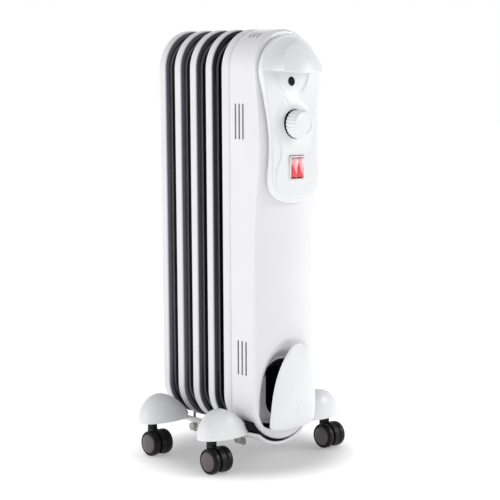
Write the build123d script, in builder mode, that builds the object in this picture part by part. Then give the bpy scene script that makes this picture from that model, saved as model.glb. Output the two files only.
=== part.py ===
"""Oil filled radiator heater: five pressed fins, a control box and four twin-wheel casters.

Millimetres. +X is to the right seen from the front, +Y to the back, +Z up.
The origin is on the floor under the middle of the bounding box. The control panel faces -Y.
"""
from build123d import *
import math
import os

os.makedirs("parts", exist_ok=True)

# ---- driving dimensions ----
TOP_Z = 565.0                 # top of the fins
SEAM_Y = -26.0                # plane where the control box meets the last fin
SHEET = 1.0                   # pressed steel

# fins
FIN_COUNT = 5
FIN_PITCH = 32.5
FIN_STRIP = 15.0              # width of the folded edge strip
FIN_HALF_WIDTH = 52.5
FIN_BOTTOM_Z = 38.0
CHANNEL_OUTER = 40.0          # half-width of the pressed oil channel loop
CHANNEL_INNER = 11.0
CHANNEL_MARGIN = 12.5         # channel loop to the fin's outer end
CHANNEL_DEPTH = 6.0
CHANNEL_TAPER = 18.0          # slope of the channel's pressed sides, degrees
HUB_RADIUS = 15.0
LOW_HUB_Z = FIN_BOTTOM_Z + FIN_HALF_WIDTH
HIGH_HUB_Z = TOP_Z - FIN_HALF_WIDTH

# control box
BOX_HALF_WIDTH = 51.5
BOX_TOP_Z = 564.0
BOX_BOTTOM_Z = 34.8
BOX_WALL = 2.0
LIP_Y = SEAM_Y - 46.0         # where the side walls end and the crowned cover begins
CROWN_RISE = 15.7             # the cover's middle stands this far in front of the lip
COVER_WALL = 2.2
COVER_LEAN = 12.0             # how far the cover leans back at its top, behind the panel
COVER_BEND_Z = 420.0
SLOT_WIDTH = 2.0
SLOT_HIGH_Z = (428.5, 472.7)
SLOT_LOW_Z = (121.0, 166.0)
SLOT_HIGH_SETBACKS = (9.0, 16.2, 23.5)
SLOT_LOW_SETBACKS = (14.0, 21.8, 29.5)
SHOULDER_SLOT_SETBACKS = (14.5, 22.0, 29.5)
SHOULDER_SLOT_ANGLES = (24.0, 36.0)   # from the vertical, round the top arch

# control panel
PANEL_HALF_WIDTH = 49.5
PANEL_TOP_Z = 561.0
PANEL_WAIST = 38.6
PANEL_LOW_HALF = 41.0
PANEL_BOTTOM_Z = 345.0
PANEL_FACE_SETBACK = 69.2     # the face's lower part, in front of the seam
PANEL_TOP_SETBACK = 58.7      # the face's top edge, in front of the seam
PANEL_BEND_Z = 398.0          # the face leans back above this height
PANEL_WALL = 2.5
STEP_DEPTH = 0.8              # keyhole-shaped step round the knob and the switch

# controls
KNOB_Z = 445.2
KNOB_RADIUS = 18.2
KNOB_HEIGHT = 16.0
KNOB_BACK_Y = SEAM_Y - 67.5
KNOB_FLUTES = 24
SPINDLE_RADIUS = 3.0
SWITCH_Z = 389.6
SWITCH_WIDTH = 25.0
SWITCH_HEIGHT = 31.0
SWITCH_FACE_Y = SEAM_Y - 72.2
ROCKER_TRAVEL = 20.0          # degrees from one state to the other
WELL_Z = 498.6
WELL_RADIUS = 6.0

# hood and cord store
HOOD_BOTTOM_Z = 510.0
HOOD_FRONT_Y = SEAM_Y - 93.0
STORE_Z = 85.0                # widest level of the cord store
STORE_HALF = 43.0
STORE_RISE = 85.0
STORE_DROP = 22.0
STORE_FLOOR_SETBACK = 26.0
STORE_WALL = 1.5
SHIELD_Z = 62.0               # widest level of the shield in front of the store
SHIELD_HALF = 40.0
SHIELD_RISE = 103.0
SHIELD_DROP = 21.0
SHIELD_WALL = 2.5
SHIELD_TOP_SETBACK = 76.0
SHIELD_FOOT_SETBACK = 58.0
CORE_HALF = 12.0              # the core behind the shield that the cord winds round
CORE_HEIGHT = 56.0
CORE_Z = 98.0

GLAND_X = 27.0
GLAND_Z = 90.0
GLAND_RADIUS = 6.0

# feet
FOOT_YS = (SEAM_Y - 17.0, SEAM_Y + 109.0)
FOOT_HALF_DEPTH = 20.5
STRAP = 3.0
STRAP_RADIUS = 57.0
STRAP_BOTTOM_Z = 24.5
ARM_Z = 44.0                  # underside of the flat arms
FENDER_REACH = 120.0          # outer end; the dome is as high as it reaches past its middle
FENDER_HALF_DEPTH = 22.0
FENDER_MIDDLE_X = 80.0
FENDER_WALL = 2.0
FENDER_CLEARANCE = 8.5        # gap to the body, which the rubber pad half fills
PAD_THICKNESS = 6.0           # rubber pad between the front strap and the box
PAD_TOP_Z = 76.0

# casters
CASTER_X = 100.0
TRAIL = 10.0
WHEEL_RADIUS = 17.0
WHEEL_WIDTH = 12.5
WHEEL_GAP = 9.0
AXLE_RADIUS = 2.5
STEM_RADIUS = 4.0
RUNNING_GAP = 0.05            # radial clearance of every running fit


def upright(y):
    """A sketch plane facing the front: local x is X and local y is Z."""
    return Plane(origin=(0, y, 0), x_dir=(1, 0, 0), z_dir=(0, -1, 0))


def stadium(half_width, bottom, top, mode=Mode.ADD):
    """A tall slot outline in an upright sketch."""
    with Locations((0, (bottom + top) / 2)):
        SlotCenterToCenter(top - bottom - 2 * half_width, 2 * half_width, rotation=90, mode=mode)


def save(part, name):
    part.label = name
    export_step(part, f"parts/{name}.step")
    return part


# ---- fins ----
def channel_loop(thin):
    """The outline of the oil channel, a tall loop, drawn in by the given thickness."""
    low = FIN_BOTTOM_Z + CHANNEL_MARGIN + thin
    high = TOP_Z - CHANNEL_MARGIN - thin
    island = 2 * CHANNEL_OUTER
    stadium(CHANNEL_OUTER - thin, low, high)
    stadium(CHANNEL_INNER + thin, low - thin + island, high + thin - island, mode=Mode.SUBTRACT)


def hub_circles(radius):
    with Locations((0, LOW_HUB_Z), (0, HIGH_HUB_Z)):
        Circle(radius)


def fin_half(middle_y, with_hubs):
    """The half of a fin in front of its middle plane: web, edge strip, oil channel and hubs."""
    with BuildPart() as half:
        with BuildSketch(upright(middle_y)):
            stadium(FIN_HALF_WIDTH, FIN_BOTTOM_Z, TOP_Z)
        extrude(amount=FIN_STRIP / 2)
        with BuildSketch(upright(middle_y - SHEET)):
            stadium(FIN_HALF_WIDTH - SHEET, FIN_BOTTOM_Z + SHEET, TOP_Z - SHEET)
        extrude(amount=FIN_STRIP, mode=Mode.SUBTRACT)
        with BuildSketch(upright(middle_y)):
            channel_loop(0)
        extrude(amount=CHANNEL_DEPTH, taper=CHANNEL_TAPER)
        if with_hubs:
            with BuildSketch(upright(middle_y)):
                hub_circles(HUB_RADIUS)
            extrude(amount=FIN_PITCH / 2)
        with BuildSketch(upright(middle_y)):
            channel_loop(SHEET)
        extrude(amount=CHANNEL_DEPTH - SHEET, taper=CHANNEL_TAPER, mode=Mode.SUBTRACT)
        if with_hubs:
            with BuildSketch(upright(middle_y)):
                hub_circles(HUB_RADIUS - SHEET)
            extrude(amount=FIN_PITCH / 2, mode=Mode.SUBTRACT)
    return half.part


for number in range(1, FIN_COUNT + 1):
    fin_y = SEAM_Y + FIN_STRIP / 2 + FIN_PITCH * (FIN_COUNT - number)
    front_half = fin_half(fin_y, with_hubs=True)
    rear_half = mirror(fin_half(fin_y, with_hubs=number > 1), about=Plane.XZ.offset(-fin_y))
    save(Compound(children=[front_half, rear_half]), f"fin_{number}")

last_hub_y = SEAM_Y + FIN_STRIP / 2 - FIN_PITCH / 2

# ---- heating element ----
ELEMENT_TUBE = 4.0
ELEMENT_SPREAD = 7.0
ELEMENT_END_Y = SEAM_Y + 128.0

with BuildPart() as element_gasket:
    with BuildSketch(upright(last_hub_y)):
        with Locations((0, LOW_HUB_Z)):
            Circle(HUB_RADIUS + 3)
            Circle(HUB_RADIUS - 3, mode=Mode.SUBTRACT)
    extrude(amount=1.5)
save(element_gasket.part, "element_gasket")

flange_y = last_hub_y - 1.5
with BuildPart() as heating_element:
    with BuildSketch(upright(flange_y)):
        with Locations((0, LOW_HUB_Z)):
            RegularPolygon(HUB_RADIUS + 4, 6)
    extrude(amount=5)
    with BuildSketch(upright(ELEMENT_END_Y)):
        with Locations((-ELEMENT_SPREAD, LOW_HUB_Z), (ELEMENT_SPREAD, LOW_HUB_Z)):
            Circle(ELEMENT_TUBE)
    extrude(amount=ELEMENT_END_Y - flange_y)
    with BuildSketch(Plane(origin=(ELEMENT_SPREAD, ELEMENT_END_Y, LOW_HUB_Z), x_dir=(1, 0, 0), z_dir=(0, 1, 0))):
        Circle(ELEMENT_TUBE)
    revolve(axis=Axis((0, ELEMENT_END_Y, LOW_HUB_Z), (0, 0, 1)), revolution_arc=180)
    with BuildSketch(upright(flange_y - 5)):
        with Locations((-ELEMENT_SPREAD, LOW_HUB_Z), (ELEMENT_SPREAD, LOW_HUB_Z)):
            Circle(ELEMENT_TUBE - 0.5)
    extrude(amount=4)
    with BuildSketch(upright(flange_y - 9)):
        with Locations((-ELEMENT_SPREAD, LOW_HUB_Z), (ELEMENT_SPREAD, LOW_HUB_Z)):
            Circle(1.5)
    extrude(amount=4)
save(heating_element.part, "heating_element")

with BuildPart() as filling_plug:
    with BuildSketch(upright(last_hub_y)):
        with Locations((0, HIGH_HUB_Z)):
            RegularPolygon(HUB_RADIUS + 3, 6)
    extrude(amount=4)
save(filling_plug.part, "filling_plug")

# ---- control box ----
inner_half = BOX_HALF_WIDTH - BOX_WALL
shoulder_z = BOX_TOP_Z - BOX_HALF_WIDTH
cover_front_y = LIP_Y - CROWN_RISE
plate_y = SEAM_Y - 1.5
plate_front_y = plate_y - SHEET

with BuildPart() as heat_shield:
    with BuildSketch(upright(plate_y)):
        stadium(inner_half - 0.2, BOX_BOTTOM_Z + BOX_WALL + 0.2, BOX_TOP_Z - BOX_WALL - 0.2)
        with Locations((0, LOW_HUB_Z), (0, HIGH_HUB_Z)):
            Circle(HUB_RADIUS + 0.5, mode=Mode.SUBTRACT)
    extrude(amount=SHEET)
save(heat_shield.part, "heat_shield")


def shoulder_wedge(side):
    """A thin sector over the top arch, in an upright sketch, that cuts one shoulder slot."""
    reach = BOX_HALF_WIDTH + 3
    first, last = (math.radians(90 - side * angle) for angle in SHOULDER_SLOT_ANGLES)
    rim = [(reach * math.cos(angle), shoulder_z + reach * math.sin(angle)) for angle in (first, last)]
    with BuildLine() as wedge:
        Polyline((0, shoulder_z), *rim, close=True)
    make_face(wedge.edges())


with BuildPart() as housing_shell:
    with BuildSketch(upright(SEAM_Y)):
        stadium(BOX_HALF_WIDTH, BOX_BOTTOM_Z, BOX_TOP_Z)
        stadium(inner_half, BOX_BOTTOM_Z + BOX_WALL, BOX_TOP_Z - BOX_WALL, mode=Mode.SUBTRACT)
    extrude(amount=SEAM_Y - LIP_Y)
    for (low_z, high_z), setbacks in ((SLOT_HIGH_Z, SLOT_HIGH_SETBACKS), (SLOT_LOW_Z, SLOT_LOW_SETBACKS)):
        with BuildSketch(Plane.YZ):
            with Locations(*[(SEAM_Y - setback, (low_z + high_z) / 2) for setback in setbacks]):
                SlotOverall(high_z - low_z, SLOT_WIDTH, rotation=90)
        extrude(amount=BOX_HALF_WIDTH + 1, both=True, mode=Mode.SUBTRACT)
    for setback in SHOULDER_SLOT_SETBACKS:
        for side in (-1, 1):
            with BuildSketch(upright(SEAM_Y - setback + SLOT_WIDTH / 2)):
                shoulder_wedge(side)
            extrude(amount=SLOT_WIDTH, mode=Mode.SUBTRACT)
save(housing_shell.part, "housing_shell")


def crowned_block(inset):
    """The front cover's outer shape, solid, drawn in by the given thickness on every outer face."""
    half = BOX_HALF_WIDTH - inset
    front = cover_front_y + inset
    low = BOX_BOTTOM_Z + inset
    high = BOX_TOP_Z - inset
    with BuildPart() as block:
        with BuildSketch(upright(LIP_Y)):
            stadium(half, low, high)
        extrude(amount=CROWN_RISE + 5)
        with BuildSketch(Plane.XY):
            with BuildLine():
                Polyline((half, LIP_Y), (half, LIP_Y + 5), (-half, LIP_Y + 5), (-half, LIP_Y))
                ThreePointArc((-half, LIP_Y), (0, front), (half, LIP_Y))
            make_face()
        extrude(amount=TOP_Z + 10, mode=Mode.INTERSECT)
        with BuildSketch(Plane.YZ):
            with BuildLine():
                Polyline((LIP_Y, low), (LIP_Y + 5, low), (LIP_Y + 5, high), (front + COVER_LEAN, high),
                         (front, COVER_BEND_Z), (front, low + 40))
                RadiusArc((front, low + 40), (LIP_Y, low), -58)
            make_face()
        extrude(amount=BOX_HALF_WIDTH + 5, both=True, mode=Mode.INTERSECT)
    return block.part


def tongue(middle_z, half_width, rise, drop):
    """An arch on a shallow rounded bottom, in an upright sketch."""
    with BuildLine() as outline:
        EllipticalCenterArc((0, middle_z), half_width, rise, start_angle=0, arc_size=180)
        EllipticalCenterArc((0, middle_z), half_width, drop, start_angle=180, arc_size=180)
    make_face(outline.edges())


def store_tongue(inset):
    tongue(STORE_Z, STORE_HALF - inset, STORE_RISE - inset, STORE_DROP - inset)


store_floor_y = SEAM_Y - STORE_FLOOR_SETBACK
with BuildPart() as front_cover:
    add(crowned_block(0))
    add(crowned_block(COVER_WALL), mode=Mode.SUBTRACT)
    with BuildSketch(upright(LIP_Y)):
        store_tongue(0)
    extrude(amount=CROWN_RISE + 5, mode=Mode.SUBTRACT)
    with BuildSketch(upright(LIP_Y)):
        with Locations((0, KNOB_Z)):
            Circle(9)
        with Locations((0, SWITCH_Z)):
            Rectangle(SWITCH_WIDTH - 2, SWITCH_HEIGHT - 2)
        with Locations((0, WELL_Z)):
            Circle(2.2)
    extrude(amount=CROWN_RISE + 5, mode=Mode.SUBTRACT)
save(front_cover.part, "front_cover")

with BuildPart() as cord_store:
    with BuildSketch(upright(store_floor_y)):
        store_tongue(0.3)
    extrude(amount=store_floor_y - LIP_Y - 3)
    with BuildSketch(upright(store_floor_y - STORE_WALL)):
        store_tongue(0.3 + STORE_WALL)
    extrude(amount=store_floor_y - LIP_Y, mode=Mode.SUBTRACT)
    with BuildSketch(upright(store_floor_y)):
        with Locations((GLAND_X, GLAND_Z)):
            Circle(GLAND_RADIUS)
    extrude(amount=STORE_WALL, mode=Mode.SUBTRACT)
save(cord_store.part, "cord_store")


def shield_skin(inset):
    """Everything behind the shield's bowed front face, which lies in front of the cover."""
    front, foot = SEAM_Y - SHIELD_TOP_SETBACK + inset, SEAM_Y - SHIELD_FOOT_SETBACK + inset
    low, high = SHIELD_Z - SHIELD_DROP - 1, SHIELD_Z + SHIELD_RISE + 5
    with BuildPart() as skin:
        with BuildSketch(Plane.YZ):
            with BuildLine():
                ThreePointArc((foot, low), (front - 1, (low + high) / 2), (front + 3, high))
                Polyline((front + 3, high), (LIP_Y + 30, high), (LIP_Y + 30, low), (foot, low))
            make_face()
        extrude(amount=SHIELD_HALF + 5, both=True)
        with BuildSketch(Plane.XY):
            with BuildLine():
                ThreePointArc((-50, front + 18), (0, front - 1), (50, front + 18))
                Polyline((50, front + 18), (50, LIP_Y + 30), (-50, LIP_Y + 30), (-50, front + 18))
            make_face()
        extrude(amount=TOP_Z, mode=Mode.INTERSECT)
    return skin.part


with BuildPart() as cord_shield:
    with BuildSketch(upright(LIP_Y + 20)):
        tongue(SHIELD_Z, SHIELD_HALF, SHIELD_RISE, SHIELD_DROP)
    extrude(amount=70)
    add(shield_skin(0), mode=Mode.INTERSECT)
    add(shield_skin(SHIELD_WALL), mode=Mode.SUBTRACT)
    for inset, mode in ((0, Mode.ADD), (2, Mode.SUBTRACT)):
        with BuildSketch(upright(store_floor_y - STORE_WALL)):
            with Locations((0, CORE_Z)):
                SlotOverall(CORE_HEIGHT - 2 * inset, 2 * (CORE_HALF - inset), rotation=90)
        extrude(amount=SHIELD_TOP_SETBACK - STORE_FLOOR_SETBACK - STORE_WALL - 2, mode=mode)
save(cord_shield.part, "cord_shield")

with BuildPart() as cord_inlet_gland:
    with BuildSketch(upright(store_floor_y + 4)):
        with Locations((GLAND_X, GLAND_Z)):
            Circle(GLAND_RADIUS - 0.1)
    extrude(amount=4 + STORE_WALL)
    with BuildSketch(upright(store_floor_y - STORE_WALL)):
        with Locations((GLAND_X, GLAND_Z)):
            Circle(GLAND_RADIUS + 2)
    extrude(amount=6, taper=12)
    with BuildSketch(upright(store_floor_y + 4)):
        with Locations((GLAND_X, GLAND_Z)):
            Circle(3.4)
    extrude(amount=20, mode=Mode.SUBTRACT)
save(cord_inlet_gland.part, "cord_inlet_gland")


# ---- control panel ----
def panel_slab(depth):
    """A block whose front is the panel's face, drawn in by the given depth."""
    face, top = SEAM_Y - PANEL_FACE_SETBACK + depth, SEAM_Y - PANEL_TOP_SETBACK + depth
    low, high = PANEL_BOTTOM_Z - 5, PANEL_TOP_Z + 5
    with BuildPart() as slab:
        with BuildSketch(Plane.YZ):
            with BuildLine():
                Polyline((face, low), (face, PANEL_BEND_Z), (top, high), (LIP_Y + 5, high),
                         (LIP_Y + 5, low), close=True)
            make_face()
        extrude(amount=PANEL_HALF_WIDTH + 5, both=True)
    return slab.part


def panel_outline(inset):
    """A shield shape: a round arch, a waist below the knob and a wide rounded bottom."""
    half, waist, low_half = PANEL_HALF_WIDTH - inset, PANEL_WAIST - inset, PANEL_LOW_HALF - inset
    shoulder = PANEL_TOP_Z - PANEL_HALF_WIDTH
    top, bottom = PANEL_TOP_Z - inset, PANEL_BOTTOM_Z + inset
    hip_z = PANEL_BOTTOM_Z + 33
    with BuildLine() as outline:
        RadiusArc((0, top), (half, shoulder), half)
        Spline((half, shoulder), (half - 3.5, 486), (waist + 2, 452), (waist, 424), (low_half, hip_z),
               tangents=((0, -1), (0, -1)))
        Spline((low_half, hip_z), (0.7 * low_half, bottom + 7), (0, bottom), tangents=((0, -1), (-1, 0)))
        mirror(about=Plane.YZ)
    make_face(outline.edges())


with BuildPart() as step_cut:
    with BuildSketch(upright(LIP_Y)):
        with Locations((0, KNOB_Z)):
            Circle(29.5)
        with Locations((0, 378)):
            RectangleRounded(68, 50, 22)
        with Locations((0, 412)):
            Rectangle(49, 44)
    extrude(amount=60)
    add(panel_slab(STEP_DEPTH), mode=Mode.SUBTRACT)

with BuildPart() as scoop_cut:
    with BuildSketch(upright(LIP_Y)):
        with Locations((0, HOOD_BOTTOM_Z)):
            Circle(26.5)
            Rectangle(60, 40, align=(Align.CENTER, Align.MIN), mode=Mode.SUBTRACT)
    extrude(amount=60)
    add(panel_slab(1.2), mode=Mode.SUBTRACT)

with BuildPart() as panel_core:
    with BuildSketch(upright(LIP_Y)):
        panel_outline(PANEL_WALL)
    extrude(amount=50)
    add(panel_slab(PANEL_WALL), mode=Mode.INTERSECT)

WELL_WALL = 1.6
well_floor_y = SEAM_Y - 58.0
with BuildPart() as control_panel:
    with BuildSketch(upright(LIP_Y)):
        panel_outline(0)
    extrude(amount=50)
    add(panel_slab(0), mode=Mode.INTERSECT)
    add(panel_core.part, mode=Mode.SUBTRACT)
    add(step_cut.part, mode=Mode.SUBTRACT)
    add(scoop_cut.part, mode=Mode.SUBTRACT)
    with BuildSketch(upright(LIP_Y)):
        with Locations((0, WELL_Z)):
            Circle(WELL_RADIUS + WELL_WALL)
    extrude(amount=CROWN_RISE)
    add(crowned_block(0), mode=Mode.SUBTRACT)
    with BuildSketch(upright(LIP_Y)):
        with Locations((0, KNOB_Z)):
            Circle(KNOB_RADIUS + 1.3)
        with Locations((0, SWITCH_Z)):
            Rectangle(SWITCH_WIDTH - 2, SWITCH_HEIGHT - 2)
        with Locations((0, WELL_Z)):
            Circle(2.2)
    extrude(amount=50, mode=Mode.SUBTRACT)
    with BuildSketch(upright(well_floor_y)):
        with Locations((0, WELL_Z)):
            Circle(WELL_RADIUS)
    extrude(amount=20, mode=Mode.SUBTRACT)
save(control_panel.part, "control_panel")

HOOD_WALL = 3.0
HOOD_BACK = (47.5, 559.0)     # half-width and top at the panel
HOOD_FRONT = (29.5, 542.0)    # the same at the front
HOOD_CROWN_RADIUS = 65.0


def hood_block(inset, drop):
    """A loft between two arches, with a bowed front, drawn in by inset and lengthened down by drop."""
    front = HOOD_FRONT_Y + inset
    with BuildPart() as block:
        for y, (half, top) in ((SEAM_Y - 54, HOOD_BACK), (HOOD_FRONT_Y - 1, HOOD_FRONT)):
            with BuildSketch(upright(y)):
                with BuildLine():
                    ThreePointArc((-half + inset, HOOD_BOTTOM_Z), (0, top - inset), (half - inset, HOOD_BOTTOM_Z))
                    Polyline((half - inset, HOOD_BOTTOM_Z), (half - inset, HOOD_BOTTOM_Z - drop),
                             (-half + inset, HOOD_BOTTOM_Z - drop), (-half + inset, HOOD_BOTTOM_Z))
                make_face()
        loft(ruled=True)
        with BuildSketch(Plane.XY):
            with Locations((0, front + HOOD_CROWN_RADIUS)):
                Circle(HOOD_CROWN_RADIUS)
        extrude(amount=TOP_Z + 10, mode=Mode.INTERSECT)
    return block.part


with BuildPart() as handle_hood:
    add(hood_block(0, 1))
    add(hood_block(HOOD_WALL, 2), mode=Mode.SUBTRACT)
    add(panel_slab(0), mode=Mode.SUBTRACT)
save(handle_hood.part, "handle_hood")

with BuildPart() as handle_screw:
    with BuildSketch(upright(well_floor_y)):
        with Locations((0, WELL_Z)):
            Circle(3.6)
    extrude(amount=2.4)
    with BuildSketch(upright(well_floor_y - 2.4)):
        with Locations((0, WELL_Z)):
            Rectangle(5, 1)
            Rectangle(1, 5)
    extrude(amount=-1.4, mode=Mode.SUBTRACT)
    with BuildSketch(upright(well_floor_y + 12)):
        with Locations((0, WELL_Z)):
            Circle(2.0)
    extrude(amount=12)
save(handle_screw.part, "handle_screw")

# ---- thermostat ----
THERMOSTAT_FRONT_SETBACK = 55.0
THERMOSTAT_DEPTH = 20.0
BUSHING_RADIUS = 5.5
thermostat_front_y = SEAM_Y - THERMOSTAT_FRONT_SETBACK
spindle_back_y = thermostat_front_y + 8
spindle_front_y = KNOB_BACK_Y - 13

with BuildPart() as thermostat:
    with BuildSketch(upright(thermostat_front_y + THERMOSTAT_DEPTH)):
        with Locations((0, KNOB_Z)):
            RectangleRounded(28, 34, 3)
    extrude(amount=THERMOSTAT_DEPTH)
    with BuildSketch(upright(thermostat_front_y)):
        with Locations((0, KNOB_Z)):
            Circle(BUSHING_RADIUS)
    extrude(amount=6)
    with BuildSketch(upright(thermostat_front_y + 9)):
        with Locations((0, KNOB_Z)):
            Circle(SPINDLE_RADIUS + RUNNING_GAP)
    extrude(amount=20, mode=Mode.SUBTRACT)
    with BuildSketch(upright(thermostat_front_y + THERMOSTAT_DEPTH + 6)):
        with Locations((-8, KNOB_Z - 10), (8, KNOB_Z - 10)):
            Rectangle(0.8, 6)
    extrude(amount=6)
save(thermostat.part, "thermostat")

with BuildPart() as thermostat_spindle:
    with BuildSketch(upright(spindle_back_y)):
        with Locations((0, KNOB_Z)):
            Circle(SPINDLE_RADIUS)
    extrude(amount=spindle_back_y - spindle_front_y)
    with BuildSketch(upright(KNOB_BACK_Y - 3)):
        with Locations((0, KNOB_Z + SPINDLE_RADIUS)):
            Rectangle(8, 2.4)
    extrude(amount=12, mode=Mode.SUBTRACT)
save(thermostat_spindle.part, "thermostat_spindle")

with BuildPart() as thermostat_knob:
    with BuildSketch(upright(KNOB_BACK_Y)):
        with Locations((0, KNOB_Z)):
            Circle(KNOB_RADIUS)
    extrude(amount=KNOB_HEIGHT, taper=3)
    fillet(thermostat_knob.faces().sort_by(Axis.Y)[0].edges(), 2.5)
    with BuildSketch(upright(KNOB_BACK_Y - 4)):
        with Locations((0, KNOB_Z)):
            with PolarLocations(KNOB_RADIUS + 0.4, KNOB_FLUTES):
                Circle(1.3)
    extrude(amount=KNOB_HEIGHT, mode=Mode.SUBTRACT)
    with BuildSketch(upright(KNOB_BACK_Y)):
        with Locations((0, KNOB_Z)):
            Circle(KNOB_RADIUS - 2.5)
            Circle(SPINDLE_RADIUS + 3.5, mode=Mode.SUBTRACT)
    extrude(amount=KNOB_HEIGHT - 3, mode=Mode.SUBTRACT)
    with BuildSketch(upright(KNOB_BACK_Y)):
        with Locations((0, KNOB_Z)):
            Circle(SPINDLE_RADIUS)
    extrude(amount=13, mode=Mode.SUBTRACT)
save(thermostat_knob.part, "thermostat_knob")

# ---- double rocker switch ----
FLANGE = 3.0
BODY_WIDTH = SWITCH_WIDTH - 2.6
BODY_HEIGHT = SWITCH_HEIGHT - 3.6
BODY_DEPTH = 22.0
POCKET_WIDTH = 20.6
POCKET_HEIGHT = 25.4
POCKET_DEPTH = 12.0
PIVOT_SETBACK = 5.5           # pivot behind the bezel's face
PIVOT_RADIUS = 1.5
ROCKER_WIDTH = 9.8
ROCKER_X = 5.1
ROCKER_RADIUS = 12.3
ROCKER_FACE = 5.0             # flush face in front of the pivot
pivot_y = SWITCH_FACE_Y + PIVOT_SETBACK
flange_back_y = SWITCH_FACE_Y + FLANGE

with BuildPart() as switch_housing:
    with BuildSketch(upright(flange_back_y)):
        with Locations((0, SWITCH_Z)):
            RectangleRounded(SWITCH_WIDTH, SWITCH_HEIGHT, 1.5)
    extrude(amount=FLANGE, taper=8)
    with BuildSketch(upright(flange_back_y + BODY_DEPTH)):
        with Locations((0, SWITCH_Z)):
            Rectangle(BODY_WIDTH, BODY_HEIGHT)
    extrude(amount=BODY_DEPTH)
    with BuildSketch(upright(SWITCH_FACE_Y + POCKET_DEPTH)):
        with Locations((0, SWITCH_Z)):
            Rectangle(POCKET_WIDTH, POCKET_HEIGHT)
    extrude(amount=POCKET_DEPTH, mode=Mode.SUBTRACT)
    with BuildSketch(Plane.YZ):
        with Locations((pivot_y, SWITCH_Z)):
            Circle(PIVOT_RADIUS)
    extrude(amount=POCKET_WIDTH / 2, both=True)
    with BuildSketch(upright(flange_back_y + BODY_DEPTH + 7)):
        with Locations(*[(x, SWITCH_Z + z) for x in (-ROCKER_X, ROCKER_X) for z in (-8, 8)]):
            Rectangle(4.8, 0.8)
    extrude(amount=7)
save(switch_housing.part, "switch_housing")


def rocker(x):
    """One rocker in its rest state: the lower half lies flush and the upper half stands out."""
    tilt = math.radians(ROCKER_TRAVEL)
    lean = ROCKER_FACE * math.sin(tilt)
    length = math.sqrt(ROCKER_RADIUS ** 2 - ROCKER_FACE ** 2 + lean ** 2) - lean
    tip = (-ROCKER_FACE - length * math.sin(tilt), length * math.cos(tilt))
    toe = (-ROCKER_FACE, -math.sqrt(ROCKER_RADIUS ** 2 - ROCKER_FACE ** 2))
    keel_z = math.sqrt(ROCKER_RADIUS ** 2 - 2 ** 2)
    with BuildPart() as body:
        pivot = (x - ROCKER_WIDTH / 2, pivot_y, SWITCH_Z)
        with BuildSketch(Plane(origin=pivot, x_dir=(0, 1, 0), z_dir=(1, 0, 0))):
            with BuildLine():
                Polyline(tip, (-ROCKER_FACE, 0), toe)
                RadiusArc(toe, (2, -keel_z), -ROCKER_RADIUS)
                Polyline((2, -keel_z), (4, -6), (4, 6), (2, keel_z))
                RadiusArc((2, keel_z), tip, -ROCKER_RADIUS)
            make_face()
            Circle(PIVOT_RADIUS + RUNNING_GAP, mode=Mode.SUBTRACT)
        extrude(amount=ROCKER_WIDTH)
    return body.part


for name, x in (("rocker_left", -ROCKER_X), ("rocker_right", ROCKER_X)):
    save(rocker(x), name)

# ---- wiring on the heat shield ----
CUTOUT_Z = 330.0
BLOCK_Z = 250.0
WIRE_RADIUS = 1.2
wire_y = plate_front_y - 12

with BuildPart() as thermal_cutout:
    with BuildSketch(upright(plate_front_y)):
        with Locations((0, CUTOUT_Z)):
            Circle(9)
            Rectangle(34, 8)
    extrude(amount=1)
    with BuildSketch(upright(plate_front_y - 1)):
        with Locations((0, CUTOUT_Z)):
            Circle(8)
    extrude(amount=8)
    with BuildSketch(upright(plate_front_y - 9)):
        with Locations((-4, CUTOUT_Z), (4, CUTOUT_Z)):
            Rectangle(0.8, 5)
    extrude(amount=5)
save(thermal_cutout.part, "thermal_cutout")

with BuildPart() as terminal_block:
    with BuildSketch(upright(plate_front_y)):
        with Locations((0, BLOCK_Z)):
            RectangleRounded(40, 16, 2)
    extrude(amount=7)
    with BuildSketch(upright(plate_front_y - 7)):
        with Locations((0, BLOCK_Z)):
            with GridLocations(12, 1, 3, 1):
                Rectangle(8, 12)
    extrude(amount=7)
    with BuildSketch(upright(plate_front_y - 14)):
        with Locations((0, BLOCK_Z)):
            with GridLocations(12, 1, 3, 1):
                Circle(2)
    extrude(amount=-4, mode=Mode.SUBTRACT)
save(terminal_block.part, "terminal_block")


def wire(points, bend=5.0):
    """A round lead along straight runs joined by tangent arcs."""
    with BuildPart() as lead:
        with BuildLine() as route:
            FilletPolyline(*points, radius=bend)
        with BuildSketch(Plane(origin=route.line @ 0, z_dir=route.line % 0)):
            Circle(WIRE_RADIUS)
        sweep()
    return lead.part


leads = []
for side in (-1, 1):
    near, far = 12 * side, 30 * side
    leads.append(wire([(near, wire_y, BLOCK_Z - 8.2), (near, wire_y, 180), (far, wire_y, 160), (far, wire_y, 120)]))
    near, far = 12 * side, 24 * side
    leads.append(wire([(near, wire_y, BLOCK_Z + 8.2), (near, wire_y, 285), (far, wire_y, 305),
                       (far, wire_y, KNOB_Z - 20)]))
save(Compound(children=leads), "wiring_harness")

# ---- feet ----
ARM_HALF_DEPTH = 12.0
ARM_END_X = 108.0
FENDER_TOE_X = 56.0           # the dome stands clear of the strap inside this
SADDLE_HALF = 20.0
SADDLE_DEPTH = 14.0
U_BOLT_WIRE = 2.0
U_BOLT_HALF = HUB_RADIUS + 0.5 + U_BOLT_WIRE
TAIL_HALF = 25.0
strap_middle_z = STRAP_BOTTOM_Z + STRAP_RADIUS
arm_top_z = ARM_Z + STRAP


def strap_arc(width):
    """The U-shaped bottom of a strap between plus and minus width, in an upright sketch."""
    with Locations((0, strap_middle_z)):
        Circle(STRAP_RADIUS)
        Circle(STRAP_RADIUS - STRAP, mode=Mode.SUBTRACT)
    Rectangle(2 * width, arm_top_z, align=(Align.CENTER, Align.MIN), mode=Mode.INTERSECT)


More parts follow.
